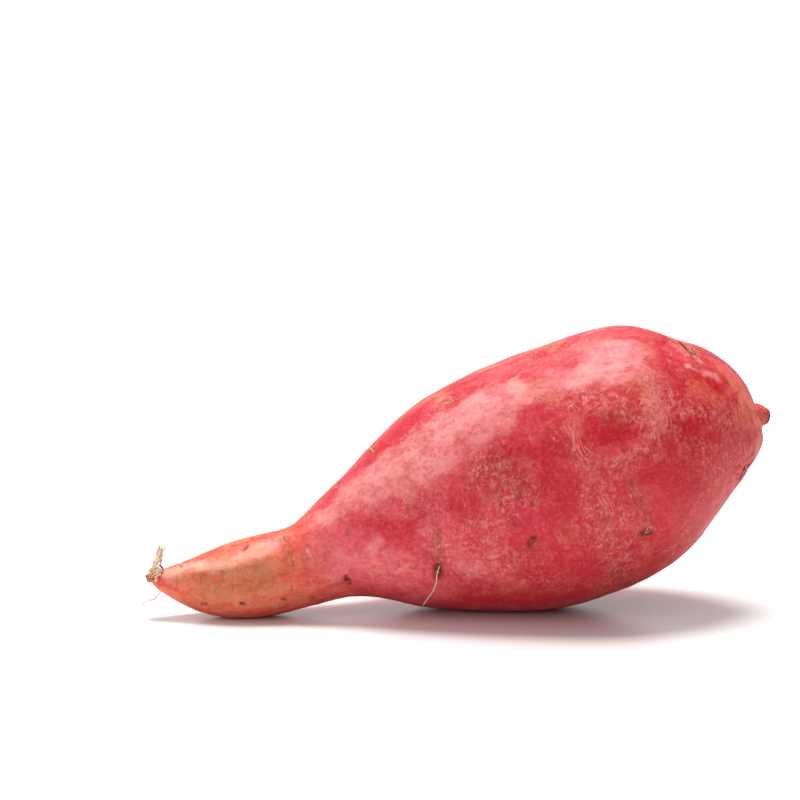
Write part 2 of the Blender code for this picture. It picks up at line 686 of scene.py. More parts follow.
PATCHES = patches(
    # Salmon orange skin of the finger and the neck, along the top edge and at the right end.
    Zone.ORANGE,
    PHOTO,
    (13.5, 1.0, 0.3, (150, 580), (200, 580), (250, 575), (267, 573)),
    (8.0, 0.7, 0.5, (290, 592), (320, 588), (340, 594)),
    (2.6, 0.3, 0.8, (404, 414), (440, 390), (480, 370)),
    (4.0, 0.4, 0.8, (480, 371), (520, 356), (560, 342)),
    (2.2, 1.0, 0.5, (683, 344), (690, 349)),
    (7.0, 0.75, 0.6, (730, 378), (742, 396), (744, 415)),
    (3.6, 0.9, 0.4, (744, 394), (752, 412), (757, 430), (755, 448)),
    (5.0, 0.5, 0.8, (700, 390), (720, 400)),
) + patches(
    Zone.ORANGE,
    ROUND,
    (16.0, 0.9, 0.4, (-60, 250), (-80, 250)),
    (12.0, 0.5, 0.6, (-45, 230), (-30, 235)),
) + patches(
    # Stains, olive on orange skin and brown elsewhere.
    Zone.STAIN,
    PHOTO,
    (9.0, 0.7, 0.8, (214, 590), (240, 588), (268, 582)),
    (5.0, 0.75, 0.6, (232, 580), (250, 577), (264, 572)),
    (4.5, 0.35, 0.6, (285, 598), (312, 596)),
    (2.6, 0.45, 0.6, (166, 597), (184, 600)),
    (1.6, 0.5, 0.6, (152, 583), (158, 590)),
    (1.4, 0.8, 0.7, (284, 536), (288, 552), (290, 566)),
    (2.4, 0.4, 0.5, (172, 582), (204, 578), (232, 578)),
    (2.6, 0.5, 0.8, (404, 413), (440, 389), (480, 369)),
    (3.0, 0.45, 0.8, (484, 368), (520, 354), (556, 340)),
    (2.6, 0.45, 0.6, (226, 545), (240, 540), (250, 537)),
    (1.6, 0.8, 0.7, (684, 347), (693, 353)),
    (2.0, 1.0, 0.8, (436, 532), (438, 546), (440, 562)),
    (0.9, 0.7, 0.5, (570, 452), (571, 458)),
    (1.4, 0.4, 0.7, (604, 412), (606, 424)),
    (2.0, 0.5, 0.9, (604, 508), (608, 530), (614, 545)),
    (2.2, 0.5, 0.9, (632, 484), (640, 502), (648, 520)),
    (5.4, 0.7, 0.9, (488, 462), (504, 474), (520, 488)),
    (1.2, 0.6, 0.7, (348, 530), (349, 538)),
    (3.4, 0.4, 0.9, (658, 552), (674, 560)),
    (4.0, 0.7, 0.9, (614, 566), (624, 582), (640, 576)),
) + patches(
    Zone.STAIN,
    ROUND,
    (2.4, 0.6, 0.9, (-12, 276), (-8, 262)),
    (1.8, 0.6, 0.9, (44, 300), (46, 284), (45, 270)),
    (5.0, 0.8, 0.8, (-66, 262), (-56, 250)),
) + patches(
    # Light, rosy skin; one wide patch on the lower left is painted light.
    Zone.ROSE,
    PHOTO,
    (9.0, 0.5, 0.7, (372, 500), (410, 484), (450, 464)),
    # Painted light: the lower left of the body made lighter and pinker where more light falls on it.
    (15.0, 1.0, 0.4, (326, 545), (365, 568), (420, 582)),
    (6.0, 0.6, 0.6, (404, 600), (440, 596)),
    (9.0, 0.5, 0.7, (430, 540), (470, 562), (500, 575)),
    (5.0, 0.4, 0.5, (430, 406), (452, 394), (476, 384)),
    (6.0, 0.7, 0.5, (490, 376), (520, 366), (545, 366), (572, 350)),
    (5.0, 0.7, 0.5, (670, 352), (690, 360), (716, 366), (728, 376)),
    (5.0, 0.9, 0.5, (588, 340), (625, 334), (648, 338)),
    (6.0, 0.5, 0.8, (422, 476), (440, 500), (446, 524)),
    (4.0, 0.7, 0.6, (600, 456), (636, 450), (655, 430)),
    (4.6, 0.45, 0.7, (655, 500), (668, 512), (678, 530)),
    (4.0, 0.4, 0.6, (716, 500), (736, 478), (748, 460)),
    (5.0, 0.25, 0.6, (500, 432), (520, 428), (540, 430)),
    (2.6, 0.9, 0.4, (662, 335), (676, 341)),
) + patches(
    Zone.ROSE,
    ROUND,
    (9.0, 0.7, 0.7, (-20, 330), (10, 322), (40, 328)),
    (9.0, 0.6, 0.8, (10, 240), (40, 225), (64, 232)),
    (8.0, 0.7, 0.7, (-34, 250), (-20, 236)),
) + patches(
    # Tan skin of the finger.
    Zone.TAN,
    PHOTO,
    (6.0, 0.4, 0.8, (196, 590), (230, 602), (264, 598)),
    (2.6, 0.8, 0.5, (224, 556), (230, 568)),
    (3.4, 1.0, 0.5, (228, 544), (240, 541), (252, 537)),
) + patches(
    # Pale bands, most of them painted highlight, and short light strokes.
    Zone.PALE,
    PHOTO,
    # Painted highlight on the lit top face of the finger.
    (3.4, 0.95, 0.35, (168, 573), (184, 569), (214, 565), (232, 563)),
    (4.2, 0.7, 0.4, (240, 560), (256, 553), (268, 547)),
    # Painted highlight along the lit upper left shoulder, up to its brightest spot.
    (7.6, 0.95, 0.4, (354, 492), (380, 471), (406, 454), (430, 438)),
    (6.5, 0.8, 0.4, (416, 442), (438, 431), (458, 424)),
    (7.5, 0.85, 0.6, (446, 424), (470, 408), (494, 395), (510, 390)),
    (4.0, 0.8, 0.4, (472, 400), (488, 394), (506, 387)),
    (8.5, 0.65, 0.6, (440, 448), (470, 436), (494, 422), (508, 404)),
    (8.0, 0.75, 0.6, (372, 488), (400, 478), (428, 466)),
    (7.0, 0.5, 0.6, (516, 392), (545, 390), (566, 380)),
    (4.8, 0.8, 0.5, (324, 518), (342, 506)),
    (8.0, 0.6, 0.5, (596, 352), (628, 350)),
    (6.5, 0.95, 0.4, (575, 380), (598, 368), (614, 372)),
    (2.6, 0.5, 0.6, (372, 549), (380, 540)),
    # Painted light: the lower left of the body made paler where more light falls on it.
    (7.0, 0.32, 0.7, (336, 566), (362, 560), (392, 568)),
    (3.4, 0.4, 0.6, (462, 566), (478, 572)),
    (1.4, 1.0, 0.3, (686, 367.3), (687.5, 367.5)),
    (0.9, 0.5, 0.8, (690, 368.5), (697, 371.5)),
    (1.8, 0.75, 0.6, (703, 373.5), (710, 375.5), (716, 379)),
    (6.0, 0.4, 0.8, (645, 372), (655, 385), (655, 420)),
    (1.5, 0.8, 0.3, (658, 334), (672, 342), (686, 352.5), (698, 362)),
    (0.6, 0.9, 0.4, (307.5, 550), (311, 556)),
    (0.6, 0.7, 0.4, (365, 568), (371, 574)),
    (0.6, 0.7, 0.4, (383, 552), (386, 557), (389, 562)),
    (0.7, 0.9, 0.4, (396, 573), (402, 568), (409, 564)),
    (0.6, 1.0, 0.4, (503, 499), (508, 497), (514, 496.5)),
    (0.7, 0.7, 0.4, (489, 557), (496, 556.5)),
    (0.9, 1.0, 0.3, (584, 336.5), (594, 333.5), (604, 331)),
    (3.6, 0.45, 0.6, (576, 346), (590, 344), (606, 342)),
) + patches(
    # Clean, deep red skin, and painted shade along the underside.
    Zone.CLEAN,
    PHOTO,
    # Deep red in the dent of the front face.
    (7.5, 1.0, 0.25, (600, 432), (620, 437), (642, 441)),
    (6.0, 1.0, 0.3, (378, 452), (397, 430), (420, 411)),
    (4.0, 0.7, 0.5, (318, 500), (345, 478), (372, 456)),
    (5.0, 0.6, 0.7, (356, 516), (382, 528), (402, 538)),
    (8.0, 0.5, 0.8, (545, 470), (560, 500), (565, 545)),
    # Painted shade: deep red along the underside, near where the root meets the table.
    (6.0, 1.0, 0.6, (420, 606), (476, 598), (530, 600), (580, 592)),
    (3.4, 0.9, 0.5, (645, 474), (664, 480)),
    (3.0, 0.7, 0.5, (608, 490), (624, 498)),
    (6.4, 1.0, 0.4, (664, 376), (676, 388), (686, 400)),
    (3.0, 0.8, 0.4, (452, 392), (464, 388), (474, 390)),
    (4.0, 0.7, 0.5, (530, 370), (548, 364)),
    (4.0, 1.0, 0.6, (616, 400), (628, 406), (640, 404)),
    (3.0, 0.6, 0.5, (694, 360), (712, 366)),
    (4.2, 0.9, 0.5, (702, 430), (718, 436)),
    (2.0, 0.8, 0.5, (676, 360), (686, 364)),
    (4.4, 0.6, 0.7, (446, 490), (456, 506), (454, 524)),
    (4.4, 0.6, 0.6, (516, 440), (530, 450), (544, 462)),
    (4.0, 0.7, 0.7, (395, 520), (410, 530)),
) + patches(
    # Scuffed skin with its light net, and a clean place in it.
    Zone.SCUFF,
    PHOTO,
    (7.0, 1.0, 0.5, (575, 398), (610, 402), (645, 410), (668, 420)),
    (6.5, 1.0, 0.7, (664, 400), (690, 408), (722, 416)),
    (5.0, 1.0, 0.4, (655, 425), (648, 452), (612, 464)),
    (8.0, 0.85, 0.7, (600, 475), (602, 500), (612, 540), (620, 575)),
    (6.5, 0.75, 0.7, (478, 462), (500, 478), (528, 500)),
    (7.0, 0.4, 0.8, (372, 500), (400, 506), (425, 490)),
    (7.0, 0.3, 0.8, (640, 520), (690, 525), (668, 560)),
) + patches(
    Zone.CLEAN,
    PHOTO,
    (6.0, 0.6, 0.8, (652, 512), (672, 524), (664, 546)),
) + patches(
    Zone.SCUFF,
    PHOTO,
    (6.5, 0.4, 0.8, (690, 450), (720, 470), (700, 500)),
    (7.0, 0.6, 0.9, (475, 545), (520, 560), (560, 585)),
) + patches(
    # Tan skin of the body.
    Zone.TAN,
    PHOTO,
    (3.4, 0.7, 0.7, (528, 351), (545, 345)),
    (2.2, 0.8, 0.7, (553, 350), (560, 344)),
    (3.2, 0.9, 0.6, (426, 400), (438, 394), (448, 400)),
    (6.0, 0.35, 0.7, (396, 470), (405, 480)),
    (1.6, 0.5, 0.4, (754, 404), (757, 414)),
    (2.4, 0.8, 0.6, (374, 450)),
    (2.2, 0.8, 0.6, (337, 486)),
    (1.5, 0.6, 0.3, (668, 341), (684, 352), (700, 364)),
    (1.8, 0.6, 0.6, (741, 466), (748, 462)),
    (4.6, 0.5, 0.8, (632, 378), (650, 392), (652, 412)),
) + (
    # The unseen sides.
    Patch(Zone.PALE, ((10, 350), (40, 345), (58, 350)), 9.0, 0.5, 0.8, ROUND),
    Patch(Zone.SCUFF, ((-5, 320), (30, 310), (60, 300)), 14.0, 0.9, 0.8, ROUND),
    Patch(Zone.CLEAN, ((5, 290), (28, 282)), 9.0, 0.9, 0.6, ROUND),
    Patch(Zone.SCUFF, ((35, 270), (60, 262), (74, 250)), 11.0, 0.9, 0.8, ROUND),
    Patch(Zone.CLEAN, ((58, 292), (72, 285)), 7.0, 0.8, 0.6, ROUND),
    Patch(Zone.PALE, ((0, 262), (22, 255)), 6.0, 0.45, 0.9, ROUND),
    Patch(Zone.TAN, ((30, 340), (50, 332)), 4.0, 0.6, 0.9, ROUND),
    Patch(Zone.SCUFF, ((-30, 300), (-42, 280)), 8.0, 0.6, 0.8, ROUND),
    Patch(Zone.SCUFF, ((10, 180), (50, 170)), 16.0, 0.6, 0.8, ROUND),
)

# What a patch of each zone wears away, so that the order of these four zones' patches matters.
CLEARED = {
    Zone.CLEAN: (Zone.SCUFF, Zone.TAN),
    Zone.SCUFF: (Zone.CLEAN,),
    Zone.PALE: (Zone.CLEAN,),
}


EYES = (
    Eye(((346, 577), (350, 584)), 0.75, 0.6, 0.10, 0.8, 1.7),
    Eye(((437.5, 567), (438.5, 576)), 1.25, 0.6, 0.12, 0.9, 2.0),
    Eye(((439.6, 564), (440, 564.4)), 0.4, 0.2, 0.05, 0.9, 1.8),
    Eye(((529, 545), (534, 539)), 1.0, 0.6, 0.10, 0.8, 1.8),
    Eye(((514, 522), (516, 525)), 0.7, 0.2, 0.05, 0.5, 1.8),
    Eye(((501, 499), (502, 505)), 0.4, 0.2, 0.08, 0.4, 1.8),
    Eye(((532, 501), (533, 505)), 0.5, 0.25, 0.08, 0.6, 1.8),
    Eye(((643, 534), (650, 533)), 0.85, 0.6, 0.12, 1.1, 1.8),
    Eye(((536, 388), (541, 387)), 0.28, 0.15, 0.04, 0.6, 1.2),
    Eye(((541, 396), (546, 397)), 0.28, 0.15, 0.04, 0.6, 1.2),
    Eye(((594, 362), (600, 358)), 0.24, 0.1, 0.03, 0.5, 1.2),
    Eye(((604, 365), (609, 364)), 0.24, 0.1, 0.03, 0.5, 1.2),
    Eye(((373, 451), (376, 449)), 0.9, 0.4, 0.15, 0.5, 1.7),
    Eye(((441, 402), (452, 399.6)), 0.34, 0.3, 0.1, 0.55, 1.7),
    Eye(((682, 347), (692, 354)), 1.4, 1.0, 0.15, 0.8, 1.4),
    Eye(((741, 472), (747, 465)), 1.5, 1.1, 0.2, 0.55, 1.2),
    Eye(((244, 550), (247, 547)), 0.55, 0.3, 0.08, 0.8, 1.5),
    Eye(((251, 539), (253, 538)), 0.45, 0.25, 0.06, 0.9, 1.5),
    Eye(((203, 604), (206, 604)), 0.6, 0.3, 0.08, 0.8, 1.6),
    Eye(((242, 603), (244, 604)), 0.6, 0.3, 0.12, 0.85, 1.6),
    Eye(((283, 599), (285, 599.5)), 0.6, 0.3, 0.08, 0.75, 1.6),
    Eye(((312, 597), (314, 598)), 0.5, 0.2, 0.06, 0.6, 1.7),
    Eye(((180, 566), (182, 567)), 0.36, 0.15, 0.04, 0.7, 1.5),
    Eye(((337, 486), (339, 484)), 0.6, 0.3, 0.1, 0.35, 1.7),
    Eye(((618.5, 588), (620.5, 587.4)), 0.5, 0.25, 0.06, 0.7, 1.5),
    # The unseen sides.
    Eye(((58, 342), (62, 336)), 0.9, 0.7, 0.18, 0.7, 1.8, ROUND),
    Eye(((24, 344), (27, 339)), 0.9, 0.6, 0.15, 0.7, 1.9, ROUND),
    Eye(((-14, 312), (-11, 306)), 0.8, 0.6, 0.12, 0.7, 1.9, ROUND),
    Eye(((12, 268), (14, 262)), 1.1, 0.8, 0.18, 0.8, 1.9, ROUND),
    Eye(((48, 286), (50, 279)), 0.9, 0.7, 0.15, 0.75, 1.9, ROUND),
    Eye(((66, 255), (68, 248)), 0.8, 0.6, 0.15, 0.7, 1.8, ROUND),
    Eye(((34, 235), (36, 230)), 1.0, 0.7, 0.15, 0.75, 1.9, ROUND),
    Eye(((-6, 222), (-4, 216)), 0.8, 0.6, 0.12, 0.7, 1.8, ROUND),
    Eye(((-36, 262), (-34, 250)), 0.7, 0.55, 0.10, 0.7, 1.7, ROUND),
    Eye(((-62, 285), (-61, 270)), 0.5, 0.35, 0.08, 0.75, 1.5, ROUND),
    Eye(((-74, 255), (-73, 242)), 0.45, 0.3, 0.07, 0.75, 1.5, ROUND),
    Eye(((-52, 330), (-51, 322)), 0.45, 0.3, 0.07, 0.7, 1.5, ROUND),
    Eye(((40, 204), (42, 198)), 0.9, 0.6, 0.12, 0.7, 1.8, ROUND),
    Eye(((78, 238), (79, 228)), 0.7, 0.5, 0.12, 0.7, 1.7, ROUND),
    Eye(((84, 340), (85, 322)), 0.7, 0.5, 0.12, 0.7, 1.7, ROUND),
    Eye(((83, 220), (83, 205)), 0.8, 0.5, 0.12, 0.7, 1.7, ROUND),
)

FOLDS = (
    # Fullness of the lower right side, of the right rim and of the top.
    Fold(((44, 176), (62, 168), (76, 158)), 15.0, -0.7, ROUND),
    Fold(((84, 112), (89, 135), (86, 160)), 8.0, -0.9, ROUND),
    Fold(((38, 12), (56, 12), (74, 14)), 14.0, -0.45, ROUND),
    # The dent of the front face and the ridge that curls round it.
    Fold(((602, 434), (622, 438), (638, 440)), 6.0, 1.0),
    Fold(((653, 412), (656, 432), (646, 452), (618, 464)), 3.2, -0.75),
    Fold(((640, 402), (612, 408), (588, 420)), 4.0, -0.25),
    # Shallow upright furrows of the lower front.
    Fold(((598, 468), (604, 505), (612, 545), (618, 588)), 3.0, 0.28),
    Fold(((636, 472), (642, 500), (646, 530), (640, 566)), 3.0, 0.25),
    Fold(((520, 470), (532, 505), (533, 540)), 3.4, 0.2),
    Fold(((436, 520), (439, 560), (446, 596)), 3.2, 0.35),
    Fold(((470, 500), (478, 540), (490, 580)), 4.0, -0.2),
    Fold(((560, 480), (566, 530), (572, 580)), 5.0, -0.22),
    Fold(((665, 470), (672, 505), (664, 548)), 4.0, -0.2),
    Fold(((700, 432), (716, 452), (722, 478)), 4.0, -0.25),
    Fold(((728, 440), (733, 462), (728, 486)), 2.6, 0.3),
    # The crease at the neck.
    Fold(((283, 528), (287, 548), (290, 572), (291, 598)), 2.4, 0.35),
    Fold(((274, 532), (278, 556), (279, 590)), 2.6, -0.22),
    Fold(((298, 530), (301, 556), (302, 590)), 3.0, -0.18),
    # Corners of the finger's lit ridge.
    Fold(((158, 580), (181, 575), (201, 572), (227, 571), (246, 565), (266, 556)), 2.4, -0.7),
    Fold(((170, 586), (205, 583), (240, 582), (270, 572)), 3.4, 0.45),
    Fold(((566, 410), (575, 440), (590, 470)), 1.8, -0.2),
    # The rim in front of the dimple on top, and the rim beside the stem.
    Fold(((660, 336), (680, 350.5), (699, 364)), 1.7, -0.6),
    Fold(((750, 402), (758, 425), (756, 452)), 3.2, -0.7),
    Fold(((738, 482), (738, 472), (742, 460)), 1.4, -0.35),
    Fold(((742, 488), (746, 475), (752, 463)), 3.0, 0.7),
    Fold(((587, 335), (604, 331)), 0.8, -0.18),
    # The unseen sides.
    Fold(((-4, 300), (14, 292), (34, 290)), 5.0, 0.4, ROUND),
    Fold(((30, 330), (52, 322)), 4.0, -0.3, ROUND),
    Fold(((48, 272), (50, 240), (46, 215)), 4.0, 0.35, ROUND),
    Fold(((20, 262), (24, 230), (22, 205)), 4.5, -0.3, ROUND),
    Fold(((-20, 290), (-14, 250), (-16, 220)), 3.6, 0.35, ROUND),
    Fold(((-48, 300), (-46, 260), (-47, 220)), 2.4, 0.35, ROUND),
    Fold(((66, 330), (72, 300), (74, 270)), 4.0, -0.3, ROUND),
    Fold(((74, 20), (77, 350), (76, 325)), 3.4, 0.3, ROUND),
)

CRACKS = (
    Crack(
        ((283, 536), (286.5, 543), (285.4, 549), (288, 555), (287.2, 561), (289.6, 568), (288.8, 574)),
        0.5,
        0.35,
    ),
    Crack(((290, 545), (292.6, 550), (291.2, 557), (293.4, 563), (292.4, 570)), 0.3, 0.2, 0.8),
    Crack(((291, 574), (292, 586), (293, 596)), 0.2, 0.12, 0.5),
    Crack(((208, 604), (222, 604), (236, 603)), 0.16, 0.08, 0.5),
    Crack(((735, 480), (740, 472), (746, 462)), 0.6, 0.5, 0.9),
    Crack(((680, 345), (685, 350.5), (692, 357)), 0.45, 0.4, 0.9),
    Crack(((497, 463), (507, 455)), 0.15, 0.05, 0.5),
    Crack(((-47, 296), (-46, 270), (-47, 244)), 0.3, 0.25, 0.9, ROUND),
    Crack(((-44, 282), (-43.5, 262)), 0.2, 0.15, 0.7, ROUND),
)

SCRATCHES = (
    Scratches(((566, 408), (573, 430), (580, 450), (591, 470)), 2.4, 1.0, 0.9),
    Scratches(((558, 424), (568, 444), (584, 464)), 0.9, 0.8, 0.7),
    Scratches(((436, 551), (446, 543), (452, 538)), 0.35, 1.0, 0.8),
    Scratches(((506, 517), (500, 519), (494, 522)), 0.3, 1.0, 0.7),
    Scratches(((504, 499), (512, 497), (520, 497)), 0.3, 1.0, 0.8),
    Scratches(((547, 518), (556, 530), (562, 545)), 1.0, 0.9, 0.6),
    Scratches(((688, 512), (706, 516)), 0.7, 0.8, 0.6),
    Scratches(((393, 573), (404, 568), (414, 562)), 0.5, 1.4, 0.7),
    Scratches(((584, 335.5), (595, 332.5), (605, 330.5)), 0.5, 2.4, 1.0),
    Scratches(((662, 395), (668, 420), (664, 440)), 3.0, 1.0, 0.7),
    Scratches(((640, 456), (625, 462), (606, 470)), 2.0, 0.9, 0.8),
    Scratches(((600, 476), (606, 500), (612, 520)), 2.0, 1.0, 0.7),
    Scratches(((720, 396), (724, 412), (722, 426)), 1.2, 0.9, 0.7),
    Scratches(((36, 318), (40, 300), (42, 285)), 2.4, 1.0, 0.9, ROUND),
    Scratches(((8, 300), (12, 284), (16, 272)), 1.8, 1.0, 0.8, ROUND),
    Scratches(((58, 276), (60, 262), (64, 250)), 2.0, 1.0, 0.8, ROUND),
)


@dataclass(frozen=True)
class Fibre:
    """A thin strand of root along a line.

    Attributes:
        path: Its places: two numbers as the chart says, and a third in mm, which is y on the chart
            UPRIGHT and the height above the skin on the others.
        radii: Its radius at its start, middle and end, in mm.
        shade: How light it is, 0 to 1.
        flat: Its thickness, as a part of its width.
        twist: How far it turns from end to end, in degrees.
        chart: How the path is written.
    """

    path: tuple[Place, ...]
    radii: Place
    shade: float = 0.6
    flat: float = 0.8
    twist: float = 40.0
    chart: Chart = PHOTO


def fibres(chart: Chart, *rows: tuple) -> tuple[Fibre, ...]:
    """Make fibres.

    Args:
        chart: How the paths are written.
        rows: For each fibre its radii, its shade, how flat it is, its twist, and then its path's places.

    Returns:
        The fibres.
    """
    return tuple(Fibre(row[4:], *row[:4], chart) for row in rows)


DRIED_ROOT = fibres(
    UPRIGHT,
    # The broken end of the root itself.
    ((1.75, 1.5, 1.0), 0.24, 0.9, 10.0, (157, 576.5, -16.0), (152.5, 577.3, -16.3), (147.4, 578, -16.5)),
    ((0.95, 0.85, 0.45), 0.12, 0.8, 20.0, (155, 574.5, -15.6), (150, 575.3, -15.8), (145.8, 576.2, -16.0)),
    ((0.95, 0.8, 0.4), 0.34, 0.7, 20.0, (155, 580.4, -16.7), (151, 581, -16.9), (147.8, 581.6, -16.8)),
    # The cream strands that spread over it.
    ((0.3, 0.38, 0.14), 0.9, 0.5, 20.0,
     (161, 570, -17.4), (156.5, 568.2, -18.4), (151.5, 570.2, -18.7), (147, 573.6, -18.3)),
    ((0.34, 0.44, 0.18), 1.0, 0.5, 20.0,
     (160.5, 572, -17.8), (157, 570, -18.8), (153, 571.6, -19.0), (149.4, 574.8, -18.7)),
    ((0.36, 0.5, 0.26), 0.95, 0.5, 20.0,
     (160.5, 573.5, -18.0), (158, 571.8, -18.9), (155, 573.2, -19.2), (152.2, 576, -18.9)),
    ((0.36, 0.52, 0.3), 1.0, 0.5, 20.0,
     (160.5, 575, -18.0), (159, 573.4, -18.9), (157, 575.2, -19.2), (155, 578.2, -19.0)),
    ((0.2, 0.28, 0.1), 0.8, 0.6, 20.0,
     (160.5, 569, -17.2), (156, 566.6, -18.2), (151.5, 568, -18.4), (148.4, 570.8, -18.0)),
    # Dark brown strands in the gaps between the cream ones: brown fibre, and partly painted shade in those
    # gaps.
    ((0.12, 0.16, 0.1), 0.05, 0.6, 20.0, (157.5, 568.4, -17.9), (153, 570.2, -18.7), (149, 573.6, -18.7)),
    ((0.28, 0.36, 0.2), 0.0, 0.7, 20.0, (163, 569.5, -17.4), (161.2, 566.4, -18.0), (158.6, 565, -18.4)),
    ((0.14, 0.22, 0.14), 0.05, 0.6, 30.0,
     (160, 560.5, -17.4), (157.6, 562.4, -18.5), (155.4, 565.5, -18.6)),
    # The strand that stands up.
    ((0.32, 0.5, 0.28), 0.95, 0.45, 30.0,
     (151, 572, -18.0), (154.5, 565, -18.4), (156.5, 560, -18.0), (157.8, 554, -17.2), (158.8, 548, -16.6),
     (160.2, 545, -16.3)),
    ((0.3, 0.55, 0.25), 0.85, 0.4, -25.0,
     (153, 571, -18.4), (156, 564, -18.6), (158.3, 559, -18.0), (159.8, 553, -17.4), (161, 547.5, -16.8)),
    ((0.25, 0.42, 0.18), 0.7, 0.5, 20.0,
     (154, 569, -17.6), (157, 563, -17.8), (160.5, 558, -17.4), (161.6, 553, -16.8), (162, 546.5, -16.2)),
    ((0.24, 0.3, 0.24), 0.75, 0.6, 30.0,
     (159.4, 562, -17.9), (162, 556, -17.6), (162.6, 551.5, -16.8), (165.6, 546.5, -16.0)),
    ((0.16, 0.16, 0.1), 0.1, 0.7, 30.0, (160.4, 565, -16.8), (161.4, 560, -17.0), (161.6, 554, -16.6)),
    ((0.12, 0.16, 0.08), 0.3, 0.7, 30.0, (156.4, 558, -17.6), (156.9, 552, -17.0), (158.4, 546.8, -16.2)),
    ((0.3, 0.4, 0.2), 0.6, 0.5, 30.0, (152, 570, -15.0), (154, 562, -14.6), (158, 556, -14.8)),
    ((0.4, 0.45, 0.2), 0.7, 0.5, 30.0, (157, 572, -14.2), (152, 569, -13.6), (148, 572, -13.4)),
    ((0.4, 0.5, 0.2), 0.65, 0.5, 30.0, (158, 579, -13.6), (152.5, 577, -12.8), (148.5, 579, -12.9)),
)

ROOTLETS = fibres(
    PHOTO,
    ((0.17, 0.2, 0.13), 1.0, 0.8, 60.0,
     (439.5, 567, -0.6), (437.2, 572.5, 0.4), (436.6, 580.5, 0.6), (433.3, 589, 0.7),
     (428.9, 595.5, 0.7), (424, 601.5, 1.0), (421.2, 606.6, 1.3)),
) + fibres(
    UPRIGHT,
    ((0.17, 0.2, 0.14), 1.0, 0.8, 60.0,
     (162, 590.5, -16.8), (158.5, 594.5, -17.0), (155.5, 598, -17.2), (152, 600, -17.6),
     (148, 600.3, -17.8), (144, 603, -17.6), (141.6, 607.4, -17.2)),
    ((0.3, 0.45, 0.2), 1.0, 0.8, 20.0,
     (157.6, 578.4, -18.2), (156.4, 580.2, -19.0), (155.6, 581.8, -18.6)),
) + fibres(
    PHOTO,
    ((0.07, 0.09, 0.05), 1.0, 0.8, 60.0,
     (645.5, 534, -0.2), (645.8, 530, 0.4), (647.6, 526.4, 0.7), (650, 524.8, 0.7), (650.8, 528, 0.5)),
    ((0.07, 0.09, 0.05), 0.9, 0.8, 60.0, (647, 533.4, -0.2), (648.4, 530.6, 0.4), (650.4, 529.4, 0.5)),
    ((0.1, 0.14, 0.08), 0.9, 0.8, 60.0,
     (374.5, 453, -0.2), (372.5, 450.5, 0.4), (370.6, 448.8, 0.6), (369.6, 447.2, 0.5)),
    ((0.07, 0.09, 0.05), 0.7, 0.8, 40.0, (447, 402.5, -0.2), (450, 400.6, 0.3), (453, 401.2, 0.2)),
    ((0.12, 0.17, 0.1), 0.3, 0.7, 60.0, (683, 345.5, 0.0), (687, 349.5, 0.5), (690.5, 354.5, 0.4)),
    ((0.1, 0.12, 0.07), 0.2, 0.8, 60.0, (689.6, 352, 0.0), (692, 349.6, 0.6), (692.4, 346.4, 0.8)),
    ((0.1, 0.13, 0.08), 0.8, 0.8, 60.0, (686, 352, 0.0), (690, 352.6, 0.6), (693.6, 355.6, 0.4)),
    ((0.1, 0.13, 0.08), 0.8, 0.8, 60.0, (743.5, 472, -0.2), (745.5, 468.5, 0.6), (744, 465, 0.4)),
) + fibres(
    # The unseen sides.
    ROUND,
    ((0.22, 0.2, 0.1), 0.75, 0.8, 60.0,
     (13, 265, -0.4), (11, 261, 1.2), (6, 258, 1.8), (0, 259, 1.6), (-6, 256, 1.2), (-11, 257, 1.4)),
    ((0.18, 0.17, 0.1), 0.7, 0.8, 60.0,
     (35, 232, -0.4), (37, 229, 1.0), (36, 225, 1.4), (31, 224, 1.2)),
    ((0.16, 0.16, 0.09), 0.6, 0.8, 60.0,
     (49, 283, -0.4), (51, 279, 0.9), (55, 277, 1.0), (58, 274, 0.7)),
    ((0.17, 0.16, 0.09), 0.8, 0.8, 60.0,
     (-35, 256, -0.4), (-38, 250, 1.0), (-43, 248, 1.3), (-47, 240, 1.1)),
    ((0.12, 0.13, 0.08), 0.7, 0.8, 60.0, (25, 342, -0.3), (23, 340, 0.7), (22, 336, 0.8)),
    ((0.16, 0.15, 0.08), 0.7, 0.8, 60.0,
     (82, 212, -0.4), (85, 206, 0.8), (84.5, 196, 1.2), (82, 188, 0.9)),
)


@dataclass(frozen=True)
class CrumbPlace:
    """Where crumbs of dry root and soil have caught.

    Attributes:
        spot: The middle of the place.
        count: How many crumbs lie there.
        spread: How far from the middle they lie, in mm.
        size: The biggest crumb's radius, in mm.
        chart: How the spot is written.
    """

    spot: Spot
    count: int
    spread: float
    size: float
    chart: Chart = PHOTO


CRUMB_PLACES = (
    CrumbPlace((684, 348), 5, 1.1, 0.26),
    CrumbPlace((690, 354), 6, 0.9, 0.28),
    CrumbPlace((745, 467), 6, 1.1, 0.3),
    CrumbPlace((438.5, 571), 7, 0.9, 0.26),
    CrumbPlace((347, 580), 5, 0.7, 0.24),
    CrumbPlace((646, 532), 3, 0.6, 0.17),
    CrumbPlace((532, 540), 4, 0.5, 0.2),
    CrumbPlace((446, 401), 3, 0.8, 0.15),
    CrumbPlace((374, 448), 5, 0.8, 0.24),
    CrumbPlace((603, 327), 2, 0.4, 0.3),
    CrumbPlace((501, 502), 2, 0.3, 0.16),
    CrumbPlace((244, 603), 3, 0.5, 0.2),
    CrumbPlace((60, 339), 5, 0.8, 0.26, ROUND),
    CrumbPlace((26, 341), 5, 0.8, 0.26, ROUND),
    CrumbPlace((-12, 309), 4, 0.7, 0.24, ROUND),
    CrumbPlace((13, 265), 6, 1.0, 0.28, ROUND),
    CrumbPlace((49, 282), 5, 0.8, 0.26, ROUND),
    CrumbPlace((67, 251), 4, 0.7, 0.24, ROUND),
    CrumbPlace((35, 232), 5, 0.9, 0.26, ROUND),
    CrumbPlace((-35, 256), 4, 0.6, 0.22, ROUND),
    CrumbPlace((-61, 278), 3, 0.5, 0.2, ROUND),
    CrumbPlace((78.5, 233), 4, 0.6, 0.22, ROUND),
)


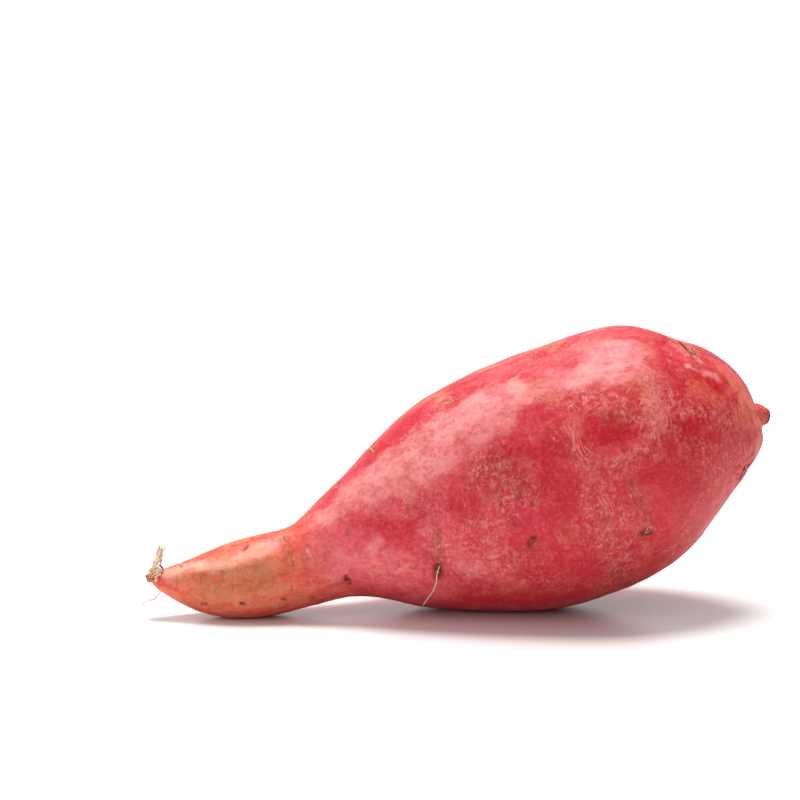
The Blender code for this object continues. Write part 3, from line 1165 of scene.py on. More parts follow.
@dataclass(frozen=True)
class Rings:
    """A lofted shape: rings of points with as many points each, and how its ends close.

    Attributes:
        rows: Places in mm, one row for each ring.
        start: The pole before the first ring, or None to leave it open.
        end: The pole after the last ring, or None to leave it open.
    """

    rows: Array
    start: Array | None = None
    end: Array | None = None

    def read(self, grain: Grain) -> Array:
        """Read a random field at the rings' points, one row of numbers for each ring."""
        return grain.at(self.rows.reshape(-1, 3)).reshape(self.rows.shape[:2])

    def roughened(self, middles: Array, rise: Array) -> "Rings":
        """Move the rings' points outward, and lift all that is below the table up to it.

        Args:
            middles: The middles that the points move away from, in mm.
            rise: How far each point moves, in mm, one row for each ring.

        Returns:
            The roughened shape, with the same poles.
        """
        rows = self.rows + unit(self.rows - middles) * rise[..., None]
        floor = np.array([-np.inf, -np.inf, 0.0])
        return Rings(*(np.maximum(part, floor) for part in (rows, self.start, self.end)))


class Loft:
    """Collects lofted shapes and makes one mesh object of them, with a map for its finish."""

    MARGIN = 0.04

    def __init__(self, name: str) -> None:
        """Start an empty mesh with this name.

        Args:
            name: What the object is called.
        """
        self.name = name
        self.points: list[Array] = []
        self.corners: list[Array] = []
        self.sizes: list[Array] = []
        self.shape_maps: list[Array] = []
        self.values: dict[str, list[Array]] = {}
        self.count = 0

    def add(self, rings: Rings, values: dict[str, Array]) -> None:
        """Add a lofted shape.

        Args:
            rings: The shape.
            values: Numbers for its points by attribute name, the rows' first and then the poles'.
        """
        count, around = rings.rows.shape[:2]
        number = np.arange(count * around).reshape(count, around) + self.count
        left, level = np.meshgrid(np.arange(around) / around, np.arange(1, count + 1) / (count + 1))
        # A corner is its point's number and its place on the map, here and one step further round.
        here = np.stack([number, left, level], -1)
        after = np.stack([np.roll(number, -1, 1), left + 1 / around, level], -1)
        faces = [np.stack([here[:-1], after[:-1], after[1:], here[1:]], 2).reshape(-1, 4, 3)]
        self.points.append(rings.rows.reshape(-1, 3))
        self.count += count * around
        for pole, height, first, second in (
            (rings.start, 0.0, after[0], here[0]),
            (rings.end, 1.0, here[-1], after[-1]),
        ):
            if pole is None:
                continue
            tip = np.stack([np.full(around, self.count), left[0] + 0.5 / around, np.full(around, height)], -1)
            faces.append(np.stack([tip, first, second], 1))
            self.points.append(pole.reshape(1, 3))
            self.count += 1
        self.corners += [part[..., 0].reshape(-1) for part in faces]
        self.sizes += [np.full(len(part), part.shape[1]) for part in faces]
        self.shape_maps.append(np.concatenate([part[..., 1:].reshape(-1, 2) for part in faces]))
        for name, numbers in values.items():
            self.values.setdefault(name, []).append(numbers)

    def _spread_maps(self) -> Array:
        """Lay the shapes' maps side by side in a grid of equal cells, twice as many across as down."""
        if len(self.shape_maps) == 1:
            return self.shape_maps[0]
        down = math.ceil(math.sqrt(len(self.shape_maps) / 2))
        across = 2 * down
        laid = []
        for number, own in enumerate(self.shape_maps):
            corner = np.array((number % across, number // across)) + self.MARGIN
            laid.append((corner + own * (1 - 2 * self.MARGIN)) / (across, down))
        return np.concatenate(laid)

    def make(self) -> Object:
        """Make the object, smooth shaded, linked to the scene, in metres."""
        mesh = bpy.data.meshes.new(self.name)
        points, corners, sizes = (np.concatenate(part) for part in (self.points, self.corners, self.sizes))
        mesh.vertices.add(len(points))
        mesh.vertices.foreach_set("co", (points * MM).astype(np.float32).reshape(-1))
        mesh.loops.add(len(corners))
        mesh.loops.foreach_set("vertex_index", corners.astype(np.int32))
        mesh.polygons.add(len(sizes))
        mesh.polygons.foreach_set("loop_start", (np.cumsum(sizes) - sizes).astype(np.int32))
        mesh.update(calc_edges=True)
        layer = mesh.uv_layers.new(name="OFBake")
        layer.data.foreach_set("uv", self._spread_maps().astype(np.float32).reshape(-1))
        for name, parts in self.values.items():
            made = mesh.attributes.new(name, "FLOAT", "POINT")
            made.data.foreach_set("value", np.concatenate(parts).astype(np.float32))
        mesh.validate()
        mesh.shade_smooth()
        return link(self.name, mesh)


def smooth_line(places: Array, count: int) -> Array:
    """Run an even, smooth curve through places.

    Args:
        places: Two or more places, as rows.
        count: How many points the curve gets.

    Returns:
        The curve's points, as rows.
    """
    padded = np.concatenate([[2 * places[0] - places[1]], places, [2 * places[-1] - places[-2]]])
    t = np.linspace(0.0, 1.0, 16, endpoint=False)[:, None]
    fine = []
    for before, start, end, after in zip(padded, padded[1:], padded[2:], padded[3:]):
        slope, bend = (end - before) / 2, (after - start) / 2
        fine.append(
            (2 * t**3 - 3 * t**2 + 1) * start
            + (t**3 - 2 * t**2 + t) * slope
            + (3 * t**2 - 2 * t**3) * end
            + (t**3 - t**2) * bend
        )
    curve = np.concatenate([*fine, places[-1:]])
    covered = covered_along(curve)
    at = np.linspace(0.0, covered[-1], count)
    return np.stack([np.interp(at, covered, curve[:, axis]) for axis in range(3)], -1)


@dataclass(frozen=True)
class Section:
    """The oval section of a fibre, a crumb or a stalk.

    Attributes:
        sides: How many points it has.
        flat: Its thickness, as a part of its width.
        twist: How far it turns from end to end, in degrees.
        tip: How far the poles lie beyond the ends, as a part of its radius there.
        start: What its width is first square to, beside the line's own direction.
    """

    sides: int
    flat: float = 1.0
    twist: float = 0.0
    tip: float = 0.4
    start: Place = (0.3, 0.2, 0.9)

    @property
    def turns(self) -> Array:
        """The directions of the section's points, in radians."""
        return np.arange(self.sides) * math.tau / self.sides

    def sweep(self, curve: Array, radii: Array) -> Rings:
        """Run the section along a curve.

        Args:
            curve: The curve's points, as rows, in mm.
            radii: The section's radius at each of them, in mm.

        Returns:
            The swept shape, closed at both ends.
        """
        ahead = unit(np.gradient(curve, axis=0))
        side = unit(np.cross(ahead[0], self.start))
        rows = []
        for number, (point, forward, radius) in enumerate(zip(curve, ahead, radii)):
            side = unit(side - forward * (side @ forward))
            up = np.cross(forward, side)
            angle = math.radians(self.twist) * number / len(curve)
            wide = side * math.cos(angle) + up * math.sin(angle)
            thin = up * math.cos(angle) - side * math.sin(angle)
            oval = np.cos(self.turns)[:, None] * wide + np.sin(self.turns)[:, None] * thin * self.flat
            rows.append(point + radius * oval)
        before = curve[0] - ahead[0] * radii[0] * self.tip
        return Rings(np.array(rows), before, curve[-1] + ahead[-1] * radii[-1] * self.tip)


@dataclass(frozen=True)
class Wire:
    """A number, a place or a colour on its way through the nodes of a sheet."""

    sheet: "Sheet"
    socket: NodeSocket

    def __add__(self, other: "Wire | float") -> "Wire":
        """Add a number."""
        return self.sheet.maths("ADD", self, other)

    def __sub__(self, other: "Wire | float") -> "Wire":
        """Take a number away."""
        return self.sheet.maths("SUBTRACT", self, other)

    def __mul__(self, other: "Wire | float") -> "Wire":
        """Multiply by a number."""
        return self.sheet.maths("MULTIPLY", self, other)

    def __abs__(self) -> "Wire":
        """Drop the sign."""
        return self.sheet.maths("ABSOLUTE", self)

    def span(self, low: float, high: float, start: float = 0.0, end: float = 1.0) -> "Wire":
        """Run smoothly from one number to another.

        Args:
            low: Where the result is start.
            high: Where the result is end.
            start: The first result.
            end: The last result.

        Returns:
            The result.
        """
        made = self.sheet.node("ShaderNodeMapRange", interpolation_type="SMOOTHSTEP")
        names = ("Value", "From Min", "From Max", "To Min", "To Max")
        self.sheet.feed_all(made, names, (self, low, high, start, end))
        return Wire(self.sheet, made.outputs["Result"])


Look = Wire | Colour


class Sheet:
    """Adds nodes to one node tree and joins them up."""

    def __init__(self, tree: NodeTree, place: str) -> None:
        """Start on a tree.

        Args:
            tree: The tree, with its last node in it.
            place: The texture coordinate that its patterns are laid out on.
        """
        self.tree = tree
        self.place = Wire(self, self.node("ShaderNodeTexCoord").outputs[place])

    def node(self, kind: str, **settings: object) -> Node:
        """Add one node and set it up."""
        made = self.tree.nodes.new(kind)
        for name, value in settings.items():
            setattr(made, name, value)
        return made

    def feed(self, socket: NodeSocket, value: object) -> None:
        """Join a socket to a wire, or set it to a number, tuple or colour."""
        if isinstance(value, Wire):
            self.tree.links.new(value.socket, socket)
        elif isinstance(value, Colour):
            socket.default_value = value.linear()
        else:
            socket.default_value = value

    def feed_all(self, made: Node, places: Iterable[str | int], values: Iterable[object]) -> None:
        """Feed several of a node's inputs, by name or number."""
        for place, value in zip(places, values):
            self.feed(made.inputs[place], value)

    def attribute(self, name: str) -> Wire:
        """Read a mesh attribute."""
        return Wire(self, self.node("ShaderNodeAttribute", attribute_name=name).outputs["Fac"])

    def maths(self, operation: str, *values: Wire | float, clamp: bool = False) -> Wire:
        """Work out one number from others, and keep it between 0 and 1 if clamp says so."""
        made = self.node("ShaderNodeMath", operation=operation, use_clamp=clamp)
        self.feed_all(made, range(len(values)), values)
        return Wire(self, made.outputs[0])

    def point(self, *parts: Wire) -> Wire:
        """Make a place of two or three numbers."""
        made = self.node("ShaderNodeCombineXYZ")
        self.feed_all(made, range(len(parts)), parts)
        return Wire(self, made.outputs[0])

    def stretched(self, by: Place) -> Wire:
        """Draw the place out: a smaller number makes a longer pattern."""
        made = self.node("ShaderNodeVectorMath", operation="MULTIPLY")
        self.feed_all(made, (0, 1), (self.place, by))
        return Wire(self, made.outputs["Vector"])

    def toward(self, side: Place) -> Wire:
        """Say how far the place lies to one side."""
        made = self.node("ShaderNodeVectorMath", operation="DOT_PRODUCT")
        self.feed_all(made, (0, 1), (self.place, side))
        return Wire(self, made.outputs["Value"])

    def noise(
        self,
        wavelength: float,
        detail: float = 2.0,
        place: Wire | None = None,
        bent: float = 0.0,
        rough: float = 0.5,
    ) -> Wire:
        """Give a cloudy pattern, about 0 to 1.

        Args:
            wavelength: Its coarseness, in mm.
            detail: How many finer layers it has.
            place: What it is laid out on, if not on the plain place.
            bent: How much it is twisted.
            rough: How strong the finer layers are.

        Returns:
            The pattern.
        """
        made = self.node("ShaderNodeTexNoise")
        names = ("Vector", "Scale", "Detail", "Roughness", "Distortion")
        self.feed_all(made, names, (place or self.place, 1 / (wavelength * MM), detail, rough, bent))
        return Wire(self, made.outputs["Fac"])

    def cells(self, size: float, place: Wire) -> tuple[Wire, Wire]:
        """Scatter points, a size in mm apart.

        Args:
            size: How far apart the points are, in mm.
            place: What they are laid out on.

        Returns:
            The distance to the nearest point, as a part of size, and a random number for that point.
        """
        made = self.node("ShaderNodeTexVoronoi")
        self.feed_all(made, ("Vector", "Scale"), (place, 1 / (size * MM)))
        apart = self.node("ShaderNodeSeparateColor")
        self.feed(apart.inputs[0], Wire(self, made.outputs["Color"]))
        return Wire(self, made.outputs["Distance"]), Wire(self, apart.outputs[0])

    def threads(self, wavelength: float, thin: float, place: Wire, bent: float) -> Wire:
        """Give thin wavy lines: where a cloudy pattern crosses its middle."""
        return abs(self.noise(wavelength, 2.0, place, bent) - 0.5).span(0.0, thin, 1.0, 0.0)

    def mix(self, share: Wire | float, under: Look, over: Look) -> Wire:
        """Lay a colour over another."""
        made = self.node("ShaderNodeMix", data_type="RGBA")
        self.feed_all(made, (0, 6, 7), (share, under, over))
        return Wire(self, made.outputs[2])

    def blend(self, share: Wire, under: Wire, over: Wire) -> Wire:
        """Lay a number over another."""
        made = self.node("ShaderNodeMix", data_type="FLOAT")
        self.feed_all(made, (0, 2, 3), (share, under, over))
        return Wire(self, made.outputs[0])

    def coats(self, colour: Look, *coats: tuple[Wire, Look]) -> Wire:
        """Lay coats over a colour.

        Args:
            colour: The colour below.
            coats: Pairs of how much of a coat there is and its colour, the lowest first.

        Returns:
            The colour seen.
        """
        for share, over in coats:
            colour = self.mix(share, colour, over)
        return colour


class Finish(Sheet):
    """The sheet of one material, with a Principled shader as its last node."""

    def __init__(self, name: str) -> None:
        """Start a material with this name."""
        self.material = bpy.data.materials.new(name)
        self.material.use_nodes = True
        super().__init__(self.material.node_tree, "Object")

    def close(
        self, colour: Wire, roughness: Wire, shine: float, *relief: tuple[Wire, float]
    ) -> Material:
        """Join the shader up.

        Args:
            colour: The surface's colour.
            roughness: Its roughness.
            shine: Its specular level.
            relief: Pairs of a pattern and how high it stands, in mm.

        Returns:
            The material.
        """
        shader = self.tree.nodes["Principled BSDF"]
        self.feed_all(shader, ("Base Color", "Roughness", "Specular IOR Level"), (colour, roughness, shine))
        if relief:
            first, *others = [pattern * height for pattern, height in relief]
            bump = self.node("ShaderNodeBump")
            self.feed_all(bump, ("Distance", "Height"), (MM, sum(others, start=first)))
            self.feed(shader.inputs["Normal"], Wire(self, bump.outputs[0]))
        return self.material


@dataclass(frozen=True)
class SkinFinish:
    """The grown skin: crimson, cloudy, scuffed in places to a light net of hairlines; painted highlight,
    light and shade lie in some of its zones.
    """

    deep: Colour = Colour(192, 24, 48)
    crimson: Colour = Colour(214, 44, 66)
    salmon: Colour = Colour(216, 72, 68)
    # Rose also paints the brighter light on the lower left of the body.
    rose: Colour = Colour(244, 104, 114)
    # Clean also paints the shade along the underside.
    clean: Colour = Colour(206, 14, 42)
    ember: Colour = Colour(204, 36, 36)
    straw: Colour = Colour(240, 142, 108)
    rust: Colour = Colour(150, 50, 36)
    orange: Colour = Colour(228, 86, 58)
    peach: Colour = Colour(240, 128, 98)
    dull: Colour = Colour(212, 80, 82)
    # Pale, and cream on orange skin, also paint the highlight on the lit shoulder and the lit top of the
    # finger.
    pale: Colour = Colour(244, 152, 150)
    cream: Colour = Colour(252, 180, 156)
    tan: Colour = Colour(222, 146, 100)
    olive: Colour = Colour(186, 132, 84)
    net: Colour = Colour(248, 144, 138)
    moss: Colour = Colour(146, 82, 58)
    flake: Colour = Colour(250, 176, 160)
    pore: Colour = Colour(150, 16, 30)
    bark: Colour = Colour(150, 68, 44)
    pit: Colour = Colour(92, 28, 22)
    shine: float = 0.27

    def make(self) -> Material:
        """Make the material."""
        sheet = Finish("grown_skin")
        scuffed, cleaned_and_shaded, paled_and_lit, rosy, ember, orange, tanned, stained = (
            sheet.attribute(zone.value) for zone in Zone
        )
        girth = sheet.stretched((1.0, 0.42, 0.42))
        length = sheet.stretched((0.4, 1.0, 1.0))

        # Cloudy patterns, from the coarsest to the finest.
        hue = sheet.noise(24.0, 3.0)
        cloud = sheet.noise(16.0, 4.0)
        mottle = sheet.noise(5.0, 4.0, rough=0.6)
        patchy = sheet.noise(3.2, 4.0, length, 0.4, 0.7)
        blotch = sheet.noise(2.2, 4.0, bent=0.6, rough=0.65)
        fine = sheet.noise(1.2, 3.0, bent=0.3, rough=0.65)
        grit = sheet.noise(0.6, 3.0, girth, 0.3, 0.7)

        # The zones, with uneven edges.
        scuff = self.mottled(scuffed, blotch, mottle)
        clean = self.mottled(cleaned_and_shaded, patchy, mottle, 0.6)
        pale = self.mottled(paled_and_lit, patchy, mottle, 0.5)
        rose = self.mottled(rosy, patchy, mottle, 0.5)
        tan = self.mottled(tanned, blotch, fine)
        stain = self.mottled(stained, blotch, mottle, 0.35)
        rough_skin = (scuffed * 0.6 + paled_and_lit * 0.15 + 0.4) * ember.span(0.0, 1.0, 1.0, 0.75)

        # The net of threads on scuffed skin, broken up here and there.
        breaks = sheet.noise(2.4, 3.0, bent=0.5).span(0.46, 0.64)
        other_breaks = sheet.noise(3.6, 3.0, bent=0.4).span(0.46, 0.6)
        wide_net = sheet.threads(2.6, 0.042, girth, 1.3) * breaks
        close_net = sheet.threads(1.3, 0.062, girth, 1.4) * other_breaks
        dark_net = sheet.threads(2.1, 0.05, sheet.stretched((0.9, 0.5, 0.5)), 1.4) * breaks
        net = sheet.maths("MULTIPLY", wide_net + close_net * 0.8, scuffed.span(0.05, 0.8), clamp=True)

        # Small marks.
        pore_distance, pore_chance = sheet.cells(1.25, length)
        pores = pore_distance.span(0.06, 0.2, 1.0, 0.0) * pore_chance.span(0.5, 0.6)
        flakes = grit.span(0.56, 0.66) * patchy.span(0.5, 0.6) * rough_skin
        hairlines = self.hairlines(sheet)
        crack = self.crack(sheet)
        halo = sheet.attribute("halo") * fine.span(0.3, 0.6, 0.3, 1.0)
        depth = sheet.attribute("pit")
        pit = (depth + (fine - 0.5) * 0.9).span(0.3, 1.05) * depth.span(0.0, 0.3)

        colour = sheet.coats(
            self.deep,
            (cloud.span(0.35, 0.65), self.crimson),
            (hue.span(0.46, 0.68) * 0.35, self.salmon),
            (mottle.span(0.48, 0.64) * 0.35, self.rose),
            (blotch.span(0.5, 0.64) * 0.4, self.dull),
            (patchy.span(0.5, 0.36) * 0.55, self.deep),
            # Deep red clean skin, and painted shade along the underside.
            (clean * 0.85, self.clean),
            # Rosy skin, and painted light on the lower left of the body.
            (rose * 0.85, self.rose),
            (ember * 0.6, self.ember),
            (orange * 0.9, sheet.mix(patchy.span(0.35, 0.62), self.orange, self.peach)),
            (scuff * 0.28, self.dull),
            # Pale skin, and painted highlight on the lit shoulder and the lit top of the finger, cream where
            # it lies on orange skin.
            (pale, sheet.mix(orange, self.pale, self.cream)),
            (tan * 0.8, self.tan),
            (stain * 0.65, sheet.mix(orange, self.moss, self.olive)),
            (grit.span(0.54, 0.62) * stained * 0.5, self.moss),
            (fine.span(0.5, 0.64) * rough_skin * 0.36, self.net),
            (fine.span(0.48, 0.36) * rough_skin * 0.42, self.pore),
            (grit.span(0.46, 0.3) * rough_skin * 0.25, self.pore),
            (dark_net * scuffed * 0.3, self.pore),
            (net * 0.72, sheet.mix(ember * 0.8, self.net, self.straw)),
            (hairlines * 0.75, self.net),
            (flakes * 0.8, self.flake),
            (pores * 0.35, self.pore),
            (halo * 0.6, self.rust),
            (crack * 0.8, self.bark),
            (pit, sheet.mix(grit.span(0.4, 0.62), self.pit, self.bark)),
        )
        roughness = fine.span(0.3, 0.7, 0.38, 0.48) + scuff * 0.12 + tan * 0.14 + stain * 0.12 + pit * 0.3
        clouds = ((mottle, 0.12), (blotch, 0.06), (fine, 0.09), (grit, 0.05), (net, 0.06))
        marks = ((hairlines, 0.08), (pores, -0.09), (flakes, 0.04), (crack, -0.12), (stain, 0.05))
        return sheet.close(colour, roughness, self.shine, *clouds, *marks)

    @staticmethod
    def mottled(zone: Wire, near: Wire, far: Wire, least: float = 0.3) -> Wire:
        """Make a soft zone uneven with a small and a large cloudy pattern, down to a least share."""
        return zone * (near * 0.6 + far * 0.4).span(0.4, 0.58, least, 1.0)

    @staticmethod
    def hairlines(sheet: Sheet) -> Wire:
        """Draw the light hairlines that wander side by side along chosen lines."""
        across = sheet.attribute("scratch_across") * MM
        along = sheet.attribute("scratch_along") * (0.13 * MM)
        line = sheet.threads(1.8, 0.045, sheet.point(across, along), 0.15)
        return line * sheet.attribute("scratch") * sheet.noise(2.6, 2.0).span(0.34, 0.5)

    @staticmethod
    def crack(sheet: Sheet) -> Wire:
        """Draw the thin brown splits."""
        off = abs(sheet.attribute("crack_across") + (sheet.noise(1.4, 3.0) - 0.5) * 0.8)
        line = sheet.maths("LESS_THAN", off, sheet.attribute("crack_width"))
        return line * sheet.attribute("crack") * sheet.noise(1.0, 2.0).span(0.38, 0.5)


@dataclass(frozen=True)
class Drift:
    """A zone that drifts over every side of the skin in clouds.

    Attributes:
        zone: The kind of skin.
        grain: The clouds' random field.
        low: The field's value where the zone begins.
        high: The field's value from which there is most of it.
        most: How much of the zone there is then.
    """

    zone: Zone
    grain: Grain
    low: float
    high: float
    most: float


@dataclass
class Skin:
    """The whole grown skin of the root: body, neck and finger.

    Attributes:
        rings: How many rings of points it has, poles left out.
        around: How many points each ring has.
        line_points: How many points the line of a fold, crack or hairline gets.
        crack_reach: How far beside a crack the skin knows of it, in mm.
        stem: The middle of the puckers and of the hollow round the stem, in mm.
        puckers: How many puckers there are, their height and their reach, in mm.
        hollow: The depth of the hollow and its reach, in mm.
        lumps: The uneven growth: pairs of a random field and its height, in mm.
        wrinkle: The height of the fine wrinkles, in mm.
        drifts: The zones that every side has before any chosen patch.
    """

    form: RootForm
    locator: Locator
    finish: SkinFinish
    rings: int = 480
    around: int = 512
    line_points: int = 24
    crack_reach: float = 2.0
    stem: Place = (89.0, 5.4, 57.5)
    puckers: tuple[int, float, float] = (9, 0.45, 9.0)
    hollow: Spot = (0.7, 5.0)
    lumps: tuple[tuple[Grain, float], ...] = (
        (Grain(30.0, 11), 0.55),
        (Grain(13.0, 23), 0.26),
        (Grain(6.0, 37, 2), 0.10),
        (Grain(2.4, 41, 2), 0.035),
    )
    wrinkle: float = 0.06
    drifts: tuple[Drift, ...] = (
        Drift(Zone.SCUFF, Grain(20.0, 71, 3), -0.25, 0.5, 0.6),
        Drift(Zone.CLEAN, Grain(14.0, 83, 3), 0.15, 0.5, 0.6),
        Drift(Zone.TAN, Grain(9.0, 97, 3), 0.3, 0.8, 0.35),
    )
    points: Array = field(init=False)
    normals: Array = field(init=False)
    height: Array = field(init=False)
    values: dict[str, Array] = field(init=False)

    def build(self) -> Object:
        """Make the skin's mesh, with its relief and its zones."""
        self._lay_out()
        self._grow_lumps()
        self._pucker()
        self._base_zones()
        features = (
            (self._lay, PATCHES),
            (self._press_fold, FOLDS),
            (self._press_eye, EYES),
            (self._cut, CRACKS),
            (self._scratch, SCRATCHES),
        )
        for add, chosen in features:
            for feature in chosen:
                add(feature)
        points = self.points + self.normals * self.height[:, None]
        points[:, 2] = np.maximum(points[:, 2], 0.0)
        loft = Loft("skin")
        loft.add(Rings(points[:-2].reshape(self.rings, self.around, 3), points[-2], points[-1]), self.values)
        return loft.make()

    def dress(self, piece: Object) -> None:
        """Give the skin its material and its place in the model."""
        piece.data.materials.append(self.finish.make())
        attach(piece, "root")
        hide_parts("sweet_potato")

    def _lay_out(self) -> None:
        """Lay out the smooth form's points, the poles last, with no relief and no zones yet."""
        around = FULL_TURN / 2 + np.arange(self.around) * FULL_TURN / self.around
        grid = self.form.surface(self.form.even_steps(self.rings + 2), around)
        girthwise = np.roll(grid, -1, 1) - np.roll(grid, 1, 1)
        normals = unit(np.cross(girthwise, np.gradient(grid, axis=0)))
        self.points = np.concatenate([grid[1:-1].reshape(-1, 3), grid[[0, -1], 0]])
        self.normals = np.concatenate([normals[1:-1].reshape(-1, 3), [(-1.0, 0.0, 0.0), (1.0, 0.0, 0.0)]])
        self.height = np.zeros(len(self.points))
        marks = ("pit", "halo", "crack", "crack_across", "crack_width")
        lines = ("scratch", "scratch_across", "scratch_along")
        names = (*(zone.value for zone in Zone), *marks, *lines)
        self.values = {name: np.zeros(len(self.points)) for name in names}

    def _grow_lumps(self) -> None:
        """Raise the uneven growth that covers the whole root, and the fine wrinkles round its slim part."""
        x = self.points[:, 0]
        body = 0.35 + 0.65 * smooth_step(x, -60.0, -10.0)
        for grain, rise in self.lumps:
            self.height += rise * body * grain.at(self.points)
        girthwise = self.points * (1.0, 0.25, 0.25)
        slim = 0.3 + smooth_step(x, -25.0, -50.0)
        self.height += self.wrinkle * slim * (1 - np.abs(Grain(2.6, 53, 2).at(girthwise)) * 2)

    def _pucker(self) -> None:
        """Draw the stem end together in puckers, and sink it round the stem."""
        _, across, up = (self.points - self.stem).T
        radius = np.hypot(across, up)
        sway = 3.0 * Grain(9.0, 67).at(self.points)
        count, rise, reach = self.puckers
        puckers = rise * np.exp(-radius / reach) * np.cos(count * np.arctan2(up, across) + sway)
        depth, reach = self.hollow
        hollow = depth * np.exp(-((radius / reach) ** 2))
        self.height += smooth_step(self.points[:, 0], 70.0, 84.0) * (puckers - hollow)

    def _base_zones(self) -> None:
        """Lay the zones that every side has before any chosen patch."""
        x = self.points[:, 0]
        for drift in self.drifts:
            clouds = smooth_step(drift.grain.at(self.points), drift.low, drift.high)
            self.values[drift.zone.value] = clouds * drift.most
        self.values["scuff"] *= smooth_step(x, -58.0, -30.0)
        warmth = np.clip(0.6 + 0.4 * Grain(12.0, 103, 3).at(self.points), 0.0, 1.0)
        self.values["ember"] = smooth_step(x, 0.0, 60.0) * warmth
        self.values["orange"] = smooth_step(x, -34.0, -52.0) * 0.75

    def _near(self, line: Array, reach: float) -> tuple[Array, Nearness]:
        """Find the points beside a line.

        Args:
            line: The line's places, as rows, in mm.
            reach: How far from the line points are wanted, in mm.

        Returns:
            The points' numbers, and how they lie beside the line.
        """
        low, high = line.min(0) - reach, line.max(0) + reach
        at = np.flatnonzero(((self.points > low) & (self.points < high)).all(1))
        return at, beside(self.points[at], self.normals[at], line)

    def _along(
        self, feature: Fold | Crack | Scratches, reach: float, fade: float
    ) -> tuple[Array, Nearness, Array]:
        """Find the points beside a feature's smooth line.

        Args:
            feature: The feature.
            reach: How far from its line points are wanted, in mm.
            fade: The part of the line over which each end fades.

        Returns:
            The points' numbers, how they lie beside the line, and how far they are from its ends, 0 to 1.
        """
        line = smooth_line(self.locator.line(feature.spots, feature.chart), self.line_points)
        at, near = self._near(line, reach)
        return at, near, smooth_step(near.part, 0.0, fade) * smooth_step(near.part, 1.0, 1 - fade)

    def _lay(self, patch: Patch) -> None:
        """Lay one patch of skin over what is there.

        Args:
            patch: The patch.
        """
        at, near = self._near(self.locator.line(patch.spots, patch.chart), patch.reach * 1.6)
        ragged = 1 + patch.ragged * Grain(max(patch.reach * 0.7, 1.2), 131, 3).at(self.points[at])
        share = patch.strength * smooth_step(near.distance / (patch.reach * ragged), 1.0, 0.25)
        values = self.values[patch.zone.value]
        values[at] += share * (1 - values[at])
        for other in CLEARED.get(patch.zone, ()):
            self.values[other.value][at] *= 1 - share

    def _press_fold(self, fold: Fold) -> None:
        """Press a furrow, or raise a ridge."""
        at, near, ends = self._along(fold, fold.reach * 2.5, 0.25)
        self.height[at] -= fold.depth * np.exp(-((near.distance / fold.reach) ** 2)) * (0.35 + 0.65 * ends)

    def _press_eye(self, eye: Eye) -> None:
        """Press a pit with its lip, and brown it.

        Args:
            eye: The eye.
        """
        at, near = self._near(self.locator.line(eye.spots, eye.chart), eye.reach * 5)
        ragged = 1 + 0.6 * Grain(eye.reach * 1.5, 151, 2).at(self.points[at])
        off = near.distance / (eye.reach * ragged)
        self.height[at] -= eye.depth * np.exp(-(off**2)) - eye.lip * np.exp(-(((off - 1.9) / 0.7) ** 2))
        pit = eye.dark * np.clip(1.25 - 0.6 * off, 0.0, 1.0)
        halo = min(1.0, eye.dark) * np.exp(-((off / eye.halo) ** 2))
        for name, share in (("pit", pit), ("halo", halo)):
            self.values[name][at] = np.maximum(self.values[name][at], share)

    def _cut(self, crack: Crack) -> None:
        """Open a thin split.

        Args:
            crack: The crack.
        """
        at, near, ends = self._along(crack, self.crack_reach + 1.0, 0.12)
        inside = near.distance < self.crack_reach
        depth = crack.depth * ends * np.exp(-((near.distance / (crack.width * 1.6)) ** 2))
        at = at[inside]
        self.height[at] -= depth[inside]
        self.values["crack"][at] = crack.amount * ends[inside]
        self.values["crack_across"][at] = near.across[inside]
        self.values["crack_width"][at] = crack.width / 2

    def _scratch(self, scratches: Scratches) -> None:
        """Draw a bunch of light hairlines.

        Args:
            scratches: The bunch.
        """
        at, near, ends = self._along(scratches, scratches.spread + 2.0, 0.15)
        share = scratches.amount * ends * smooth_step(near.distance, scratches.spread + 0.5, scratches.spread)
        stronger = share > self.values["scratch"][at]
        at = at[stronger]
        self.values["scratch"][at] = share[stronger]
        self.values["scratch_across"][at] = near.across[stronger] / scratches.pitch
        self.values["scratch_along"][at] = near.part[stronger] * near.length


@dataclass(frozen=True)
class BarkFinish:
    """The stem stump's bark, dark red streaked with coral, with a brown cut face."""

    coral: Colour = Colour(226, 104, 88)
    red: Colour = Colour(184, 40, 38)
    ridge: Colour = Colour(214, 138, 96)
    face: Colour = Colour(120, 84, 56)
    rim: Colour = Colour(66, 42, 30)
    shine: float = 0.3

    def make(self) -> Material:
        """Make the material."""
        sheet = Finish("stem_bark")
        streak = sheet.noise(0.9, 4.0, sheet.stretched((0.35, 1.0, 1.0)), 0.4, 0.6)
        grit = sheet.noise(0.35, 3.0)
        wood_rings = sheet.maths("SINE", sheet.attribute("from_pith") * 9.0)
        wood = sheet.mix((wood_rings + grit * 1.2).span(-0.4, 1.4), self.rim, self.face)
        colour = sheet.coats(
            self.red,
            (streak.span(0.3, 0.6), self.coral),
            (streak.span(0.6, 0.72) * 0.5, self.ridge),
            (sheet.attribute("rim") * grit.span(0.25, 0.6, 0.6, 1.0), self.rim),
            (sheet.attribute("face"), wood),
        )
        roughness = grit.span(0.3, 0.7, 0.55, 0.75)
        return sheet.close(colour, roughness, self.shine, (streak, 0.12), (grit, 0.05))


